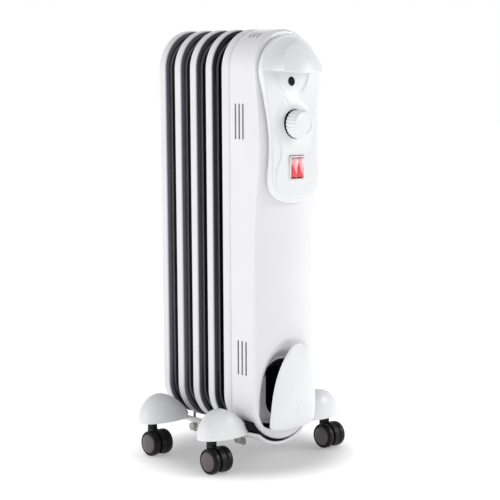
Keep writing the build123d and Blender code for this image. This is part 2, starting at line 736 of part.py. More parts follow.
def foot_strap(foot_y, saddle_y, clamp_y):
    """A U-shaped strap with flat arms, a saddle under one fin and holes for the clamp and the stems."""
    back_y = max(foot_y + FOOT_HALF_DEPTH, clamp_y + 9)
    with BuildPart() as strap:
        with BuildSketch(upright(foot_y + FOOT_HALF_DEPTH)):
            strap_arc(STRAP_RADIUS)
        extrude(amount=2 * FOOT_HALF_DEPTH)
        with BuildSketch(upright(foot_y + ARM_HALF_DEPTH)):
            with Locations((-ARM_END_X, ARM_Z), (42.5, ARM_Z)):
                Rectangle(ARM_END_X - 42.5, STRAP, align=(Align.MIN, Align.MIN))
        extrude(amount=2 * ARM_HALF_DEPTH)
        if back_y > foot_y + FOOT_HALF_DEPTH:
            with BuildSketch(upright(back_y)):
                strap_arc(TAIL_HALF)
            extrude(amount=back_y - foot_y - FOOT_HALF_DEPTH)
        with BuildSketch(upright(saddle_y + SADDLE_DEPTH / 2)):
            with Locations((0, STRAP_BOTTOM_Z + 1)):
                Rectangle(2 * SADDLE_HALF, 20, align=(Align.CENTER, Align.MIN))
            with Locations((0, LOW_HUB_Z)):
                Circle(FIN_HALF_WIDTH + 0.2, mode=Mode.SUBTRACT)
            with Locations((0, strap_middle_z)):
                Circle(STRAP_RADIUS - 1, mode=Mode.INTERSECT)
        extrude(amount=SADDLE_DEPTH)
        with BuildSketch(Plane.XY):
            with Locations((-U_BOLT_HALF, clamp_y), (U_BOLT_HALF, clamp_y)):
                Circle(U_BOLT_WIRE + 0.3)
            with Locations((-CASTER_X, foot_y), (CASTER_X, foot_y)):
                Circle(STEM_RADIUS)
        extrude(amount=ARM_Z + 10, mode=Mode.SUBTRACT)
    return strap.part


def u_bolt(clamp_y):
    """Threaded wire bent over the collar between two fins, with both legs through the strap."""
    middle = (0, clamp_y, LOW_HUB_Z)
    with BuildPart() as bolt:
        with BuildSketch(Plane(origin=(U_BOLT_HALF, clamp_y, LOW_HUB_Z), x_dir=(1, 0, 0), z_dir=(0, 0, 1))):
            Circle(U_BOLT_WIRE)
        revolve(axis=Axis(middle, (0, -1, 0)), revolution_arc=180)
        with BuildSketch(Plane.XY.offset(LOW_HUB_Z)):
            with Locations((-U_BOLT_HALF, clamp_y), (U_BOLT_HALF, clamp_y)):
                Circle(U_BOLT_WIRE)
        extrude(amount=-(LOW_HUB_Z - NUT_BOTTOM_Z + 5))
    return bolt.part


NUT_TOP_Z = 25.8
NUT_BOTTOM_Z = 19.5


def wing_nut(x, clamp_y):
    with BuildPart() as nut:
        with BuildSketch(Plane.XY.offset(NUT_BOTTOM_Z)):
            with Locations((x, clamp_y)):
                Circle(4.2)
        extrude(amount=NUT_TOP_Z - NUT_BOTTOM_Z)
        with BuildSketch(Plane.YZ.offset(x - 0.9)):
            for side in (-1, 1):
                with Locations((clamp_y + side * 7.5, NUT_BOTTOM_Z)):
                    Ellipse(4.2, 5.5, rotation=-20 * side)
            with Locations((clamp_y, NUT_BOTTOM_Z + 1)):
                Rectangle(12, 2, align=(Align.CENTER, Align.MIN))
        extrude(amount=1.8)
        with BuildSketch(Plane.XY):
            with Locations((x, clamp_y)):
                Circle(U_BOLT_WIRE)
        extrude(amount=NUT_TOP_Z, mode=Mode.SUBTRACT)
    return nut.part


def fender(foot_y):
    """A hollow dome over the left caster, open below and cut away round the body and the strap."""
    middle = (-FENDER_MIDDLE_X, foot_y, ARM_Z)
    with BuildPart() as dome:
        for inset, mode in ((0, Mode.ADD), (FENDER_WALL, Mode.SUBTRACT)):
            with BuildSketch(Plane(origin=middle)):
                Ellipse(FENDER_REACH - FENDER_MIDDLE_X - inset, FENDER_HALF_DEPTH - inset)
                Rectangle(100, 100, align=(Align.MAX, Align.CENTER), mode=Mode.SUBTRACT)
            revolve(axis=Axis(middle, (0, 1, 0)), mode=mode)
        with Locations(middle):
            Box(100, 100, 100, align=(Align.CENTER, Align.CENTER, Align.MAX), mode=Mode.SUBTRACT)
        with Locations((0, foot_y, 0)):
            Box(2 * FENDER_TOE_X, 100, arm_top_z + 0.2, align=(Align.CENTER, Align.CENTER, Align.MIN),
                mode=Mode.SUBTRACT)
        with BuildSketch(upright(foot_y + FENDER_HALF_DEPTH + 1)):
            stadium(FIN_HALF_WIDTH + FENDER_CLEARANCE, FIN_BOTTOM_Z - FENDER_CLEARANCE, TOP_Z)
        extrude(amount=2 * FENDER_HALF_DEPTH + 2, mode=Mode.SUBTRACT)
    return dome.part


PAD_GAP = 0.1

with BuildPart() as strap_pad:
    with BuildSketch(upright(SEAM_Y - 0.5)):
        with Locations((0, BOX_BOTTOM_Z + BOX_HALF_WIDTH)):
            Circle(BOX_HALF_WIDTH + PAD_THICKNESS)
        with Locations((0, arm_top_z + 3 * PAD_GAP)):
            Rectangle(2 * TOP_Z, TOP_Z, align=(Align.CENTER, Align.MIN), mode=Mode.INTERSECT)
        with Locations((0, strap_middle_z)):
            Circle(STRAP_RADIUS - STRAP - PAD_GAP)
        stadium(BOX_HALF_WIDTH + PAD_GAP, BOX_BOTTOM_Z - PAD_GAP, BOX_TOP_Z, mode=Mode.SUBTRACT)
        Rectangle(2 * TOP_Z, PAD_TOP_Z, align=(Align.CENTER, Align.MIN), mode=Mode.INTERSECT)
    extrude(amount=2 * FOOT_HALF_DEPTH - 4)
save(strap_pad.part, "strap_pad")

clamp_ys = (SEAM_Y + 23.75, SEAM_Y + 121.25)
saddle_ys = (SEAM_Y + 8.0, SEAM_Y + 105.0)
for end, foot_y, saddle_y, clamp_y in zip(("front", "rear"), FOOT_YS, saddle_ys, clamp_ys):
    save(foot_strap(foot_y, saddle_y, clamp_y), f"foot_strap_{end}")
    save(u_bolt(clamp_y), f"u_bolt_{end}")
    nuts = [wing_nut(x, clamp_y) for x in (-U_BOLT_HALF, U_BOLT_HALF)]
    save(Compound(children=nuts), f"wing_nuts_{end}")
    save(fender(foot_y), f"caster_cover_{end}_left")
    save(mirror(fender(foot_y), about=Plane.YZ), f"caster_cover_{end}_right")

# ---- casters ----
YOKE_HALF = WHEEL_GAP / 2 - 0.5
NECK_RADIUS = 5.5
NECK_BOTTOM_Z = 34.8
NECK_TOP_Z = ARM_Z - 0.5
STEM_BOTTOM_Z = 22.0
AXLE_REACH = WHEEL_GAP / 2 + 9.0


def caster_stem(x, y):
    """A steel pin through the strap's arm with a head above it."""
    with BuildPart() as stem:
        for z, radius, height in ((STEM_BOTTOM_Z, STEM_RADIUS - 1, ARM_Z - STEM_BOTTOM_Z),
                                  (ARM_Z, STEM_RADIUS - 0.02, STRAP), (arm_top_z, STEM_RADIUS + 2, 2)):
            with BuildSketch(Plane.XY.offset(z)):
                with Locations((x, y)):
                    Circle(radius)
            extrude(amount=height)
    return stem.part


def caster_yoke(x, y):
    """The plate between the two wheels with a neck that turns on the stem."""
    with BuildPart() as yoke:
        with BuildSketch(Plane.YZ.offset(x - YOKE_HALF)):
            with Locations((y - TRAIL, WHEEL_RADIUS)):
                Circle(WHEEL_RADIUS + 0.5)
            with Locations((y - TRAIL, 0)):
                Rectangle(3 * WHEEL_RADIUS, 8, align=(Align.CENTER, Align.CENTER), mode=Mode.SUBTRACT)
            with Locations((y, NECK_TOP_Z)):
                Rectangle(2 * NECK_RADIUS, NECK_TOP_Z - 20, align=(Align.CENTER, Align.MAX))
        extrude(amount=2 * YOKE_HALF)
        with BuildSketch(Plane.XY.offset(NECK_BOTTOM_Z)):
            with Locations((x, y)):
                Circle(NECK_RADIUS)
        extrude(amount=NECK_TOP_Z - NECK_BOTTOM_Z)
        with BuildSketch(Plane.XY.offset(STEM_BOTTOM_Z - 1)):
            with Locations((x, y)):
                Circle(STEM_RADIUS - 1 + RUNNING_GAP)
        extrude(amount=ARM_Z, mode=Mode.SUBTRACT)
        with BuildSketch(Plane.YZ.offset(x - YOKE_HALF)):
            with Locations((y - TRAIL, WHEEL_RADIUS)):
                Circle(AXLE_RADIUS + 0.02)
        extrude(amount=2 * YOKE_HALF, mode=Mode.SUBTRACT)
    return yoke.part


def caster_axle(x, y):
    with BuildPart() as axle:
        with BuildSketch(Plane.YZ.offset(x - AXLE_REACH)):
            with Locations((y - TRAIL, WHEEL_RADIUS)):
                Circle(AXLE_RADIUS)
        extrude(amount=2 * AXLE_REACH)
    return axle.part


def caster_wheel(x, y, side):
    """A dished wheel on one side of the yoke: tread, web, hub and a domed outer face."""
    inner = WHEEL_GAP / 2
    outer = inner + WHEEL_WIDTH
    plane = Plane(origin=(x, y - TRAIL, WHEEL_RADIUS), x_dir=(side, 0, 0), z_dir=(0, -side, 0))
    with BuildPart() as wheel:
        with BuildSketch(plane):
            with BuildLine():
                Polyline((inner, AXLE_RADIUS + RUNNING_GAP), (inner, 6), (inner + 6, 6),
                         (inner + 6, WHEEL_RADIUS - 3), (inner, WHEEL_RADIUS - 3), (inner, WHEEL_RADIUS - 1))
                Polyline((inner, WHEEL_RADIUS - 1), (inner + 1, WHEEL_RADIUS), (outer - 3, WHEEL_RADIUS),
                         (outer - 1.8, WHEEL_RADIUS - 1.2))
                ThreePointArc((outer - 1.8, WHEEL_RADIUS - 1.2), (outer - 0.5, WHEEL_RADIUS / 2), (outer, 2))
                Polyline((outer, 2), (outer, 0), (outer - 2.5, 0), (outer - 2.5, AXLE_RADIUS + RUNNING_GAP),
                         (inner, AXLE_RADIUS + RUNNING_GAP))
            make_face()
        revolve(axis=Axis((x, y - TRAIL, WHEEL_RADIUS), (1, 0, 0)))
    return wheel.part


for end, foot_y in zip(("front", "rear"), FOOT_YS):
    for side, hand in ((-1, "left"), (1, "right")):
        x = side * CASTER_X
        corner = f"{end}_{hand}"
        save(caster_stem(x, foot_y), f"stem_{corner}")
        save(caster_yoke(x, foot_y), f"yoke_{corner}")
        save(caster_axle(x, foot_y), f"axle_{corner}")
        for wheel_side, wheel_hand in ((-1, "a"), (1, "b")):
            save(caster_wheel(x, foot_y, wheel_side), f"wheel_{corner}_{wheel_hand}")
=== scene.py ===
"""Looks of the oil filled radiator heater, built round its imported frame."""
import contextlib
import math

import bmesh
import bpy
from mathutils import Matrix, Vector


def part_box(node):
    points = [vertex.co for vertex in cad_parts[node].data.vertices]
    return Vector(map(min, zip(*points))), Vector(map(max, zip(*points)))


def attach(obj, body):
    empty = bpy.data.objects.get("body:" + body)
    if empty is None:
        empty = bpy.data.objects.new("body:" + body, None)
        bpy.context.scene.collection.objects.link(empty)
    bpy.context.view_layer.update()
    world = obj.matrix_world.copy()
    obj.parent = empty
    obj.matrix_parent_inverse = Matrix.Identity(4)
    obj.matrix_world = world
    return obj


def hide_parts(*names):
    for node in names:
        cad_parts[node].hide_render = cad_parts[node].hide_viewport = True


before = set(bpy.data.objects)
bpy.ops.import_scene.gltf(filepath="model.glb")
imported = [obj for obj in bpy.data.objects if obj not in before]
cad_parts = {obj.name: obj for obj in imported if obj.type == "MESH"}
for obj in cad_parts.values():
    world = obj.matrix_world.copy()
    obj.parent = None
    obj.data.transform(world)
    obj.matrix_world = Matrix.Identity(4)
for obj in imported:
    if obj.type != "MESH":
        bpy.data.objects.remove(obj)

bl_info = {
    "name": "Oil Filled Radiator Heater",
    "version": (1, 0, 0),
    "blender": (4, 5, 0),
    "location": "3D View > Sidebar > Heater",
    "description": "Builds the visible pieces of an oil filled radiator heater round its frame",
    "category": "Object",
}

# ---- places taken from the frame, in millimetres ----
MM = 0.001


def corners(node):
    """The two corners of a node's box in millimetres."""
    return tuple(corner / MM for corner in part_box(node))


REAR_LOW, REAR_HIGH = corners("fin_1")
BOX_LOW, BOX_HIGH = corners("housing_shell")
KNOB_LOW, KNOB_HIGH = corners("thermostat_knob")
SWITCH_LOW, SWITCH_HIGH = corners("switch_housing")
SEAM_Y = BOX_HIGH.y
BOX_HALF = BOX_HIGH.x
FIN_HALF = corners("fin_5")[1].x
FIN_STRIP = 15.0


# ---- curves and outlines ----
def through(knots):
    """A smooth curve through (place, value) knots, flat outside them."""
    places, values = zip(*knots)
    last = len(places) - 1
    slopes = [0.0] + [(values[i + 1] - values[i - 1]) / (places[i + 1] - places[i - 1])
                      for i in range(1, last)] + [0.0]

    def value(at):
        if at <= places[0]:
            return values[0]
        if at >= places[last]:
            return values[last]
        i = max(k for k in range(last) if places[k] <= at)
        gap = places[i + 1] - places[i]
        t = (at - places[i]) / gap
        return ((2 * t ** 3 - 3 * t ** 2 + 1) * values[i] + (t ** 3 - 2 * t ** 2 + t) * gap * slopes[i]
                + (3 * t ** 2 - 2 * t ** 3) * values[i + 1] + (t ** 3 - t ** 2) * gap * slopes[i + 1])
    return value


def ease(t):
    t = min(1.0, max(0.0, t))
    return t * t * (3 - 2 * t)


def spread(first, last, count):
    return [first + (last - first) * i / (count - 1) for i in range(count)]


def turns(count):
    """Angles that go once round."""
    return [2 * math.pi * i / count for i in range(count)]


def slot_ring(half, low_z, high_z, arc=48, side=100):
    """Points (x, z) round an upright slot whose end arcs are centred on low_z and high_z."""
    def bow(middle_z, first, last):
        return [(half * math.sin(a), middle_z + half * math.cos(a)) for a in spread(first, last, arc)]

    top, bottom = bow(high_z, -math.pi / 2, math.pi / 2), bow(low_z, math.pi / 2, 1.5 * math.pi)
    right = [(half, z) for z in spread(high_z, low_z, side)[1:-1]]
    left = [(-half, z) for z in spread(low_z, high_z, side)[1:-1]]
    return top + right + bottom + left


def round_box(half_x, half_z, radius, middle_z, arc=8):
    points = []
    for cx, cz, start in ((1, 1, 90), (1, -1, 0), (-1, -1, -90), (-1, 1, -180)):
        for a in spread(math.radians(start), math.radians(start - 90), arc):
            points.append((cx * (half_x - radius) + radius * math.cos(a),
                           middle_z + cz * (half_z - radius) + radius * math.sin(a)))
    return points


def tongue_ring(half, rise, drop, middle_z, count=160, top=2.0, bottom=2.7):
    """An arch on a shallow rounded bottom; top and bottom say how square each end is."""
    points = []
    for a in turns(count):
        c, s = math.cos(a), math.sin(a)
        power = 2 / (top if s >= 0 else bottom)
        points.append((half * math.copysign(abs(c) ** power, c),
                       middle_z + (rise if s > 0 else drop) * math.copysign(abs(s) ** power, s)))
    return points


def smooth_path(points, steps):
    """Catmull-Rom points from the second control point to the last but one."""
    path = []
    for p0, p1, p2, p3 in zip(points, points[1:], points[2:], points[3:]):
        for i in range(steps):
            t = i / steps
            path.append(tuple(0.5 * (2 * b + (c - a) * t + (2 * a - 5 * b + 4 * c - d) * t * t
                                     + (3 * b - a - 3 * c + d) * t ** 3)
                              for a, b, c, d in zip(p0, p1, p2, p3)))
    path.append(points[-2])
    return path


# ---- meshes ----
def mesh_piece(name, verts, faces):
    mesh = bpy.data.meshes.new(name)
    mesh.from_pydata([(x * MM, y * MM, z * MM) for x, y, z in verts], [], faces)
    piece = bpy.data.objects.new(name, mesh)
    bpy.context.scene.collection.objects.link(piece)
    return piece


def loft(name, rings, around=True, ends="", seam_arc=0):
    """Quads between rings of equal length.

    ends says which end rings get a flat face. seam_arc is the number of points in an end arc of a slot ring, and
    adds quads across the first and the last ring.
    """
    count = len(rings[0])
    verts = [point for ring in rings for point in ring]
    faces = []
    for r in range(len(rings) - 1):
        for i in range(count if around else count - 1):
            j = (i + 1) % count
            faces.append((r * count + i, r * count + j, (r + 1) * count + j, (r + 1) * count + i))
    if "first" in ends:
        faces.append(tuple(range(count - 1, -1, -1)))
    if "last" in ends:
        faces.append(tuple((len(rings) - 1) * count + i for i in range(count)))
    if seam_arc:
        for base in (0, (len(rings) - 1) * count):
            for i in range(seam_arc // 2, (count + seam_arc - 2) // 2):
                across = (i, i + 1, seam_arc - 2 - i, seam_arc - 1 - i)
                faces.append(tuple(base + k % count for k in across))
    piece = mesh_piece(name, verts, faces)
    orient(piece)
    return piece


def prism(name, outline, first, last):
    """A closed block whose (x, z) outline runs between two distances in front of the seam."""
    return loft(name, [[(x, SEAM_Y - y, z) for x, z in outline] for y in (first, last)], ends="first last")


@contextlib.contextmanager
def editing(piece):
    """The piece's mesh as a bmesh, written back at the end."""
    shape = bmesh.new()
    shape.from_mesh(piece.data)
    yield shape
    shape.to_mesh(piece.data)
    shape.free()


def orient(piece, merge=1e-6):
    """Merges doubles and turns every face outwards."""
    with editing(piece) as shape:
        bmesh.ops.remove_doubles(shape, verts=shape.verts, dist=merge)
        bmesh.ops.dissolve_degenerate(shape, edges=shape.edges, dist=merge)
        bmesh.ops.recalc_face_normals(shape, faces=shape.faces)


def face_towards(piece, direction):
    """Reverses an open piece whose faces look away from a direction."""
    with editing(piece) as shape:
        facing = sum((face.normal * face.calc_area() for face in shape.faces), Vector())
        if facing.dot(direction) < 0:
            bmesh.ops.reverse_faces(shape, faces=shape.faces)


def settle(piece):
    """Turns a piece's modifiers into plain mesh."""
    graph = bpy.context.evaluated_depsgraph_get()
    settled = bpy.data.meshes.new_from_object(piece.evaluated_get(graph), depsgraph=graph)
    piece.modifiers.clear()
    piece.data = settled


def wall(piece, thickness):
    thicken = piece.modifiers.new("Wall", "SOLIDIFY")
    thicken.thickness = thickness * MM
    thicken.offset = -1
    settle(piece)


def soften(piece, width, segments=2, angle=35):
    bevel = piece.modifiers.new("Soft Edges", "BEVEL")
    bevel.width = width * MM
    bevel.segments = segments
    bevel.limit_method = "ANGLE"
    bevel.angle_limit = math.radians(angle)
    settle(piece)


def cut(piece, *cutters):
    for cutter in cutters:
        knife = piece.modifiers.new("Cut", "BOOLEAN")
        knife.operation = "DIFFERENCE"
        knife.solver = "EXACT"
        knife.object = cutter
        settle(piece)
        bpy.data.objects.remove(cutter)


def dress(piece, finish_name, body, *nodes, crease=32):
    """Gives a piece its finish and shading, and ties it to the frame."""
    piece.data.materials.clear()
    piece.data.materials.append(finish(finish_name))
    piece.data.polygons.foreach_set("material_index", [0] * len(piece.data.polygons))
    piece.data.shade_smooth()
    piece.data.set_sharp_from_angle(angle=math.radians(crease))
    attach(piece, body)
    if nodes:
        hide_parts(*nodes)
    return piece


def joined(name, parts):
    shape = bmesh.new()
    for part in parts:
        shape.from_mesh(part.data)
        bpy.data.objects.remove(part)
    mesh = bpy.data.meshes.new(name)
    shape.to_mesh(mesh)
    shape.free()
    piece = bpy.data.objects.new(name, mesh)
    bpy.context.scene.collection.objects.link(piece)
    return piece


def spun(name, profile, centre, axis, count=64, ends=""):
    """A turned shape: profile holds (radius, distance along the axis)."""
    rings = []
    for radius, along in profile:
        ring = []
        for a in turns(count):
            u, v = radius * math.cos(a), radius * math.sin(a)
            offset = (u, along, v) if axis == "y" else (along, u, v)
            ring.append(tuple(c + o for c, o in zip(centre, offset)))
        rings.append(ring)
    return loft(name, rings, ends=ends)


def copied(node, name, width):
    """A copy of a frame node with its edges softened."""
    piece = bpy.data.objects.new(name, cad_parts[node].data.copy())
    bpy.context.scene.collection.objects.link(piece)
    with editing(piece) as shape:
        bmesh.ops.remove_doubles(shape, verts=shape.verts, dist=2e-6)
        bmesh.ops.dissolve_limit(shape, angle_limit=math.radians(2), verts=shape.verts, edges=shape.edges)
    soften(piece, width)
    return piece


# ---- what repeats ----
def copies_tree():
    """Copies in a row: the piece's own mesh, again and again at a fixed step."""
    tree = bpy.data.node_groups.new("Copies in a Row", "GeometryNodeTree")
    face = tree.interface
    face.new_socket("Geometry", in_out="INPUT", socket_type="NodeSocketGeometry")
    keys = {label: face.new_socket(label, in_out="INPUT", socket_type=kind).identifier
            for label, kind in (("Count", "NodeSocketInt"), ("Step", "NodeSocketVector"),
                                ("Turn", "NodeSocketVector"), ("Start", "NodeSocketVector"),
                                ("Finish", "NodeSocketMaterial"))}
    face.new_socket("Geometry", in_out="OUTPUT", socket_type="NodeSocketGeometry")
    nodes, link = tree.nodes, tree.links.new
    entry, exit_node = nodes.new("NodeGroupInput"), nodes.new("NodeGroupOutput")
    row = nodes.new("GeometryNodeMeshLine")
    place = nodes.new("GeometryNodeInstanceOnPoints")
    turn = nodes.new("ShaderNodeVectorMath")
    turn.operation = "SCALE"
    number = nodes.new("GeometryNodeInputIndex")
    real, paint = nodes.new("GeometryNodeRealizeInstances"), nodes.new("GeometryNodeSetMaterial")
    link(entry.outputs["Count"], row.inputs["Count"])
    link(entry.outputs["Step"], row.inputs["Offset"])
    link(entry.outputs["Start"], row.inputs["Start Location"])
    link(row.outputs["Mesh"], place.inputs["Points"])
    link(entry.outputs["Geometry"], place.inputs["Instance"])
    link(entry.outputs["Turn"], turn.inputs[0])
    link(number.outputs["Index"], turn.inputs["Scale"])
    link(turn.outputs["Vector"], place.inputs["Rotation"])
    link(place.outputs["Instances"], real.inputs["Geometry"])
    link(real.outputs["Geometry"], paint.inputs["Geometry"])
    link(entry.outputs["Finish"], paint.inputs["Material"])
    link(paint.outputs["Geometry"], exit_node.inputs["Geometry"])
    return tree, keys


def repeat(piece, count, step=(0, 0, 0), turn=(0, 0, 0), start=(0, 0, 0), finish_name="white_plastic"):
    """Repeats a piece with the row tree and returns it as plain mesh."""
    if "Copies in a Row" not in bpy.data.node_groups:
        TREES["row"] = copies_tree()
    tree, keys = TREES["row"]
    again = piece.modifiers.new("Copies", "NODES")
    again.node_group = tree
    again[keys["Count"]] = count
    again[keys["Step"]] = [value * MM for value in step]
    again[keys["Turn"]] = list(turn)
    again[keys["Start"]] = [value * MM for value in start]
    again[keys["Finish"]] = finish(finish_name)
    settle(piece)
    return piece


TREES = {}


# ---- finishes ----
class Wire:
    """A node's output that takes part in ordinary arithmetic."""

    def __init__(self, sheet, socket):
        self.sheet, self.socket = sheet, socket

    def math(self, operation, *values):
        return self.sheet.node("ShaderNodeMath", {"operation": operation}, dict(enumerate(values)))

    def __add__(self, other):
        return self.math("ADD", self, other)

    def __radd__(self, other):
        return self.math("ADD", other, self)

    def __sub__(self, other):
        return self.math("SUBTRACT", self, other)

    def __rsub__(self, other):
        return self.math("SUBTRACT", other, self)

    def __mul__(self, other):
        return self.math("MULTIPLY", self, other)

    def __rmul__(self, other):
        return self.math("MULTIPLY", other, self)

    def root(self):
        return self.math("SQRT", self)

    def above(self, other):
        return self.math("MAXIMUM", self, other)

    def between(self, low, high):
        """0 below low, 1 above high, smooth between them."""
        values = {"Value": self, "From Min": low, "From Max": high, "To Min": 0.0, "To Max": 1.0}
        return self.sheet.node("ShaderNodeMapRange", {"interpolation_type": "SMOOTHSTEP"}, values)


class Sheet:
    """One material under construction."""

    def __init__(self, name):
        self.material = bpy.data.materials.new(name)
        self.material.use_nodes = True
        self.tree = self.material.node_tree
        self.tree.nodes.clear()
        self.shader = self.tree.nodes.new("ShaderNodeBsdfPrincipled")
        output = self.tree.nodes.new("ShaderNodeOutputMaterial")
        self.tree.links.new(self.shader.outputs["BSDF"], output.inputs["Surface"])
        self.place = self.node("ShaderNodeTexCoord", output="Object")

    def node(self, kind, settings=None, values=None, output=0):
        made = self.tree.nodes.new(kind)
        for key, value in (settings or {}).items():
            setattr(made, key, value)
        for key, value in (values or {}).items():
            self.feed(made.inputs[key], value)
        return Wire(self, made.outputs[output])

    def feed(self, socket, value):
        if isinstance(value, Wire):
            self.tree.links.new(value.socket, socket)
        else:
            socket.default_value = value

    def set(self, **values):
        for key, value in values.items():
            self.feed(self.shader.inputs[key.replace("_", " ")], value)

    def axes(self):
        """The place on the object along x, y and z in metres."""
        split = self.tree.nodes.new("ShaderNodeSeparateXYZ")
        self.tree.links.new(self.place.socket, split.inputs[0])
        return tuple(Wire(self, output) for output in split.outputs)

    def noise(self, scale, detail=2.0, stretch=(1, 1, 1)):
        place = self.node("ShaderNodeMapping", None, {"Vector": self.place, "Scale": stretch})
        return self.node("ShaderNodeTexNoise", None, {"Vector": place, "Scale": scale, "Detail": detail})

    def mix(self, factor, first, second):
        return self.node("ShaderNodeMix", {"data_type": "RGBA"}, {0: factor, 6: first, 7: second}, output=2)

    def bump(self, height, strength, distance):
        values = {"Height": height, "Strength": strength, "Distance": distance}
        return self.node("ShaderNodeBump", None, values)


def rgba(colour, factor=1.0):
    return tuple(channel * factor for channel in colour[:3]) + (1.0,)


def moulded(name, colour, rough, grain=1500.0, depth=0.06, coat=0.0, metal=0.0, mottle=0.04, specular=0.5):
    """Paint, plastic or metal with faint mottling, uneven gloss and a fine surface grain."""
    sheet = Sheet(name)
    cloud = sheet.noise(14.0, 3.0)
    fine = sheet.noise(grain, 2.0)
    base = sheet.mix(cloud, rgba(colour, 1 - mottle), rgba(colour, 1 + mottle * 0.5))
    sheet.set(Base_Color=base, Roughness=rough + (cloud - 0.5) * 0.08, Normal=sheet.bump(fine, depth, 0.0002))
    sheet.set(Metallic=metal, Coat_Weight=coat, Coat_Roughness=0.12, Specular_IOR_Level=specular)
    return sheet, base


def fin_paint():
    """White enamel on the folded edges; on the glossy webs between the fins the colour gives way to dark painted
    shade, darkest between the front fins, with a painted highlight along the bead round the oil channel.
    """
    tints = bpy.context.scene.heater_finishes
    sheet, base = moulded("fin_paint", tints.white_enamel, 0.2, grain=900.0, depth=0.05)
    x, y, z = sheet.axes()
    low, high = (REAR_LOW.z + FIN_HALF) * MM, (REAR_HIGH.z - FIN_HALF) * MM
    beyond = (z - high).above(low - z).above(0.0)
    radius = (x * x + beyond * beyond).root()
    inset = FIN_HALF * MM - radius
    behind_case = (y - SEAM_Y * MM).between(0.004, 0.008)
    before_back = 1.0 - (y - (REAR_HIGH.y - FIN_STRIP / 2) * MM).between(-0.0005, 0.0005)
    # web marks where painted shade takes over from the white enamel on the webs between the fins.
    web = inset.between(0.0005, 0.0022) * behind_case * before_back
    # shoulder is a band of painted highlight along the bead round the oil channel.
    shoulder = inset.between(0.0098, 0.0110) * (1.0 - inset.between(0.0120, 0.0132))
    # depth makes the painted shade darkest between the front fins and lighter towards the rear.
    depth = (y - SEAM_Y * MM).between(0.015, 0.135)
    dark = sheet.mix(depth, rgba(tints.web_front), rgba(tints.web_rear))
    dark = sheet.mix(shoulder * 0.75, dark, rgba(tints.web_shoulder_highlight))
    sheet.set(Base_Color=sheet.mix(web, base, dark), Roughness=0.2 + web * 0.06)
    sheet.set(Coat_Weight=0.1, Specular_IOR_Level=0.32)
    return sheet.material


def rocker_red():
    """Translucent red acrylic lit faintly from within, with painted highlights: a pale band towards the top
    right of each rocker and a near-white streak beyond it, which glow along with the red.
    """
    tints = bpy.context.scene.heater_finishes
    sheet = Sheet("rocker_red")
    x, _, z = sheet.axes()
    low, high = corners("rocker_left")
    pitch = corners("rocker_right")[0].x - low.x
    rockers_along = (x - low.x * MM) * (1 / (pitch * MM))
    across = sheet.node("ShaderNodeMath", {"operation": "FRACT"}, {0: rockers_along})
    up = (z - low.z * MM) * (1 / ((high.z - low.z) * MM))
    streak = sheet.noise(260.0, 2.0, (1, 1, 0.25))
    # lean places the painted highlights: first the pale band, then the near-white streak.
    lean = across * 0.7 + up + (streak - 0.5) * 0.3
    red = sheet.mix(lean.between(0.72, 1.02), rgba(tints.rocker_deep), rgba(tints.rocker_pale))
    red = sheet.mix(lean.between(1.15, 1.45) * 0.7, red, (1.0, 0.8, 0.82, 1.0))
    sheet.set(Base_Color=red, Roughness=0.12 + (streak - 0.5) * 0.1, Emission_Color=red)
    sheet.set(Emission_Strength=0.16, Coat_Weight=0.8)
    return sheet.material


def galvanised_sheet():
    """Bright sheet with the large crystals of hot dip zinc."""
    sheet, base = moulded("galvanised_sheet", (0.55, 0.57, 0.6), 0.38, grain=700.0, depth=0.08, metal=1.0)
    crystals = sheet.node("ShaderNodeTexVoronoi", None, {"Vector": sheet.place, "Scale": 90.0}, output="Color")
    sheet.set(Base_Color=sheet.mix(0.18, base, crystals))
    return sheet.material


# A colour given by name is one that the user can change.
PLAIN_FINISHES = {
    "white_paint": {"colour": "white_enamel", "rough": 0.24, "grain": 900.0, "depth": 0.05, "coat": 0.45},
    "white_plastic": {"colour": "white_plastic", "rough": 0.3, "grain": 1700.0, "depth": 0.05, "coat": 0.2},
    "knob_plastic": {"colour": "knob_plastic", "rough": 0.34, "grain": 1700.0, "depth": 0.08},
    "bezel_plastic": {"colour": (0.84, 0.84, 0.85), "rough": 0.25, "grain": 1700.0, "coat": 0.3},
    "black_plastic": {"colour": (0.004, 0.004, 0.0045), "rough": 0.38, "grain": 1200.0, "depth": 0.12,
                      "specular": 0.22},
    # Near-black; on the slot sheet, the cord core, the screw well and the ring behind the knob it stands for
    # painted shade.
    "store_black": {"colour": (0.002, 0.002, 0.002), "rough": 0.55, "grain": 1200.0, "depth": 0.15,
                    "specular": 0.1},
    "wheel_plastic": {"colour": (0.003, 0.0028, 0.003), "rough": 0.32, "grain": 1200.0, "depth": 0.08,
                      "specular": 0.22},
    "hub_cap": {"colour": "hub_cap", "rough": 0.2, "depth": 0.05, "coat": 0.2, "mottle": 0.15},
    # Black that stands for painted shade on the handle screw in its well.
    "black_screw": {"colour": (0.01, 0.01, 0.01), "rough": 0.45, "grain": 900.0, "depth": 0.1,
                    "specular": 0.2},
    "black_rubber": {"colour": (0.004, 0.004, 0.004), "rough": 0.6, "grain": 900.0, "depth": 0.2,
                     "specular": 0.15},
    # On the switch this dark grey is painted shade round the bezel.
    "gasket_rubber": {"colour": (0.03, 0.03, 0.03), "rough": 0.65, "grain": 800.0, "depth": 0.25},
    "zinc_steel": {"colour": (0.4, 0.39, 0.37), "rough": 0.3, "grain": 700.0, "depth": 0.12, "metal": 1.0,
                   "mottle": 0.15},
    "ceramic_body": {"colour": (0.75, 0.7, 0.6), "rough": 0.5, "grain": 1300.0, "depth": 0.2},
    "brass_metal": {"colour": (0.72, 0.5, 0.2), "rough": 0.28, "grain": 900.0, "depth": 0.1, "metal": 1.0,
                    "mottle": 0.12},
    "wire_insulation": {"colour": (0.35, 0.05, 0.03), "rough": 0.4, "grain": 1300.0, "depth": 0.1},
}
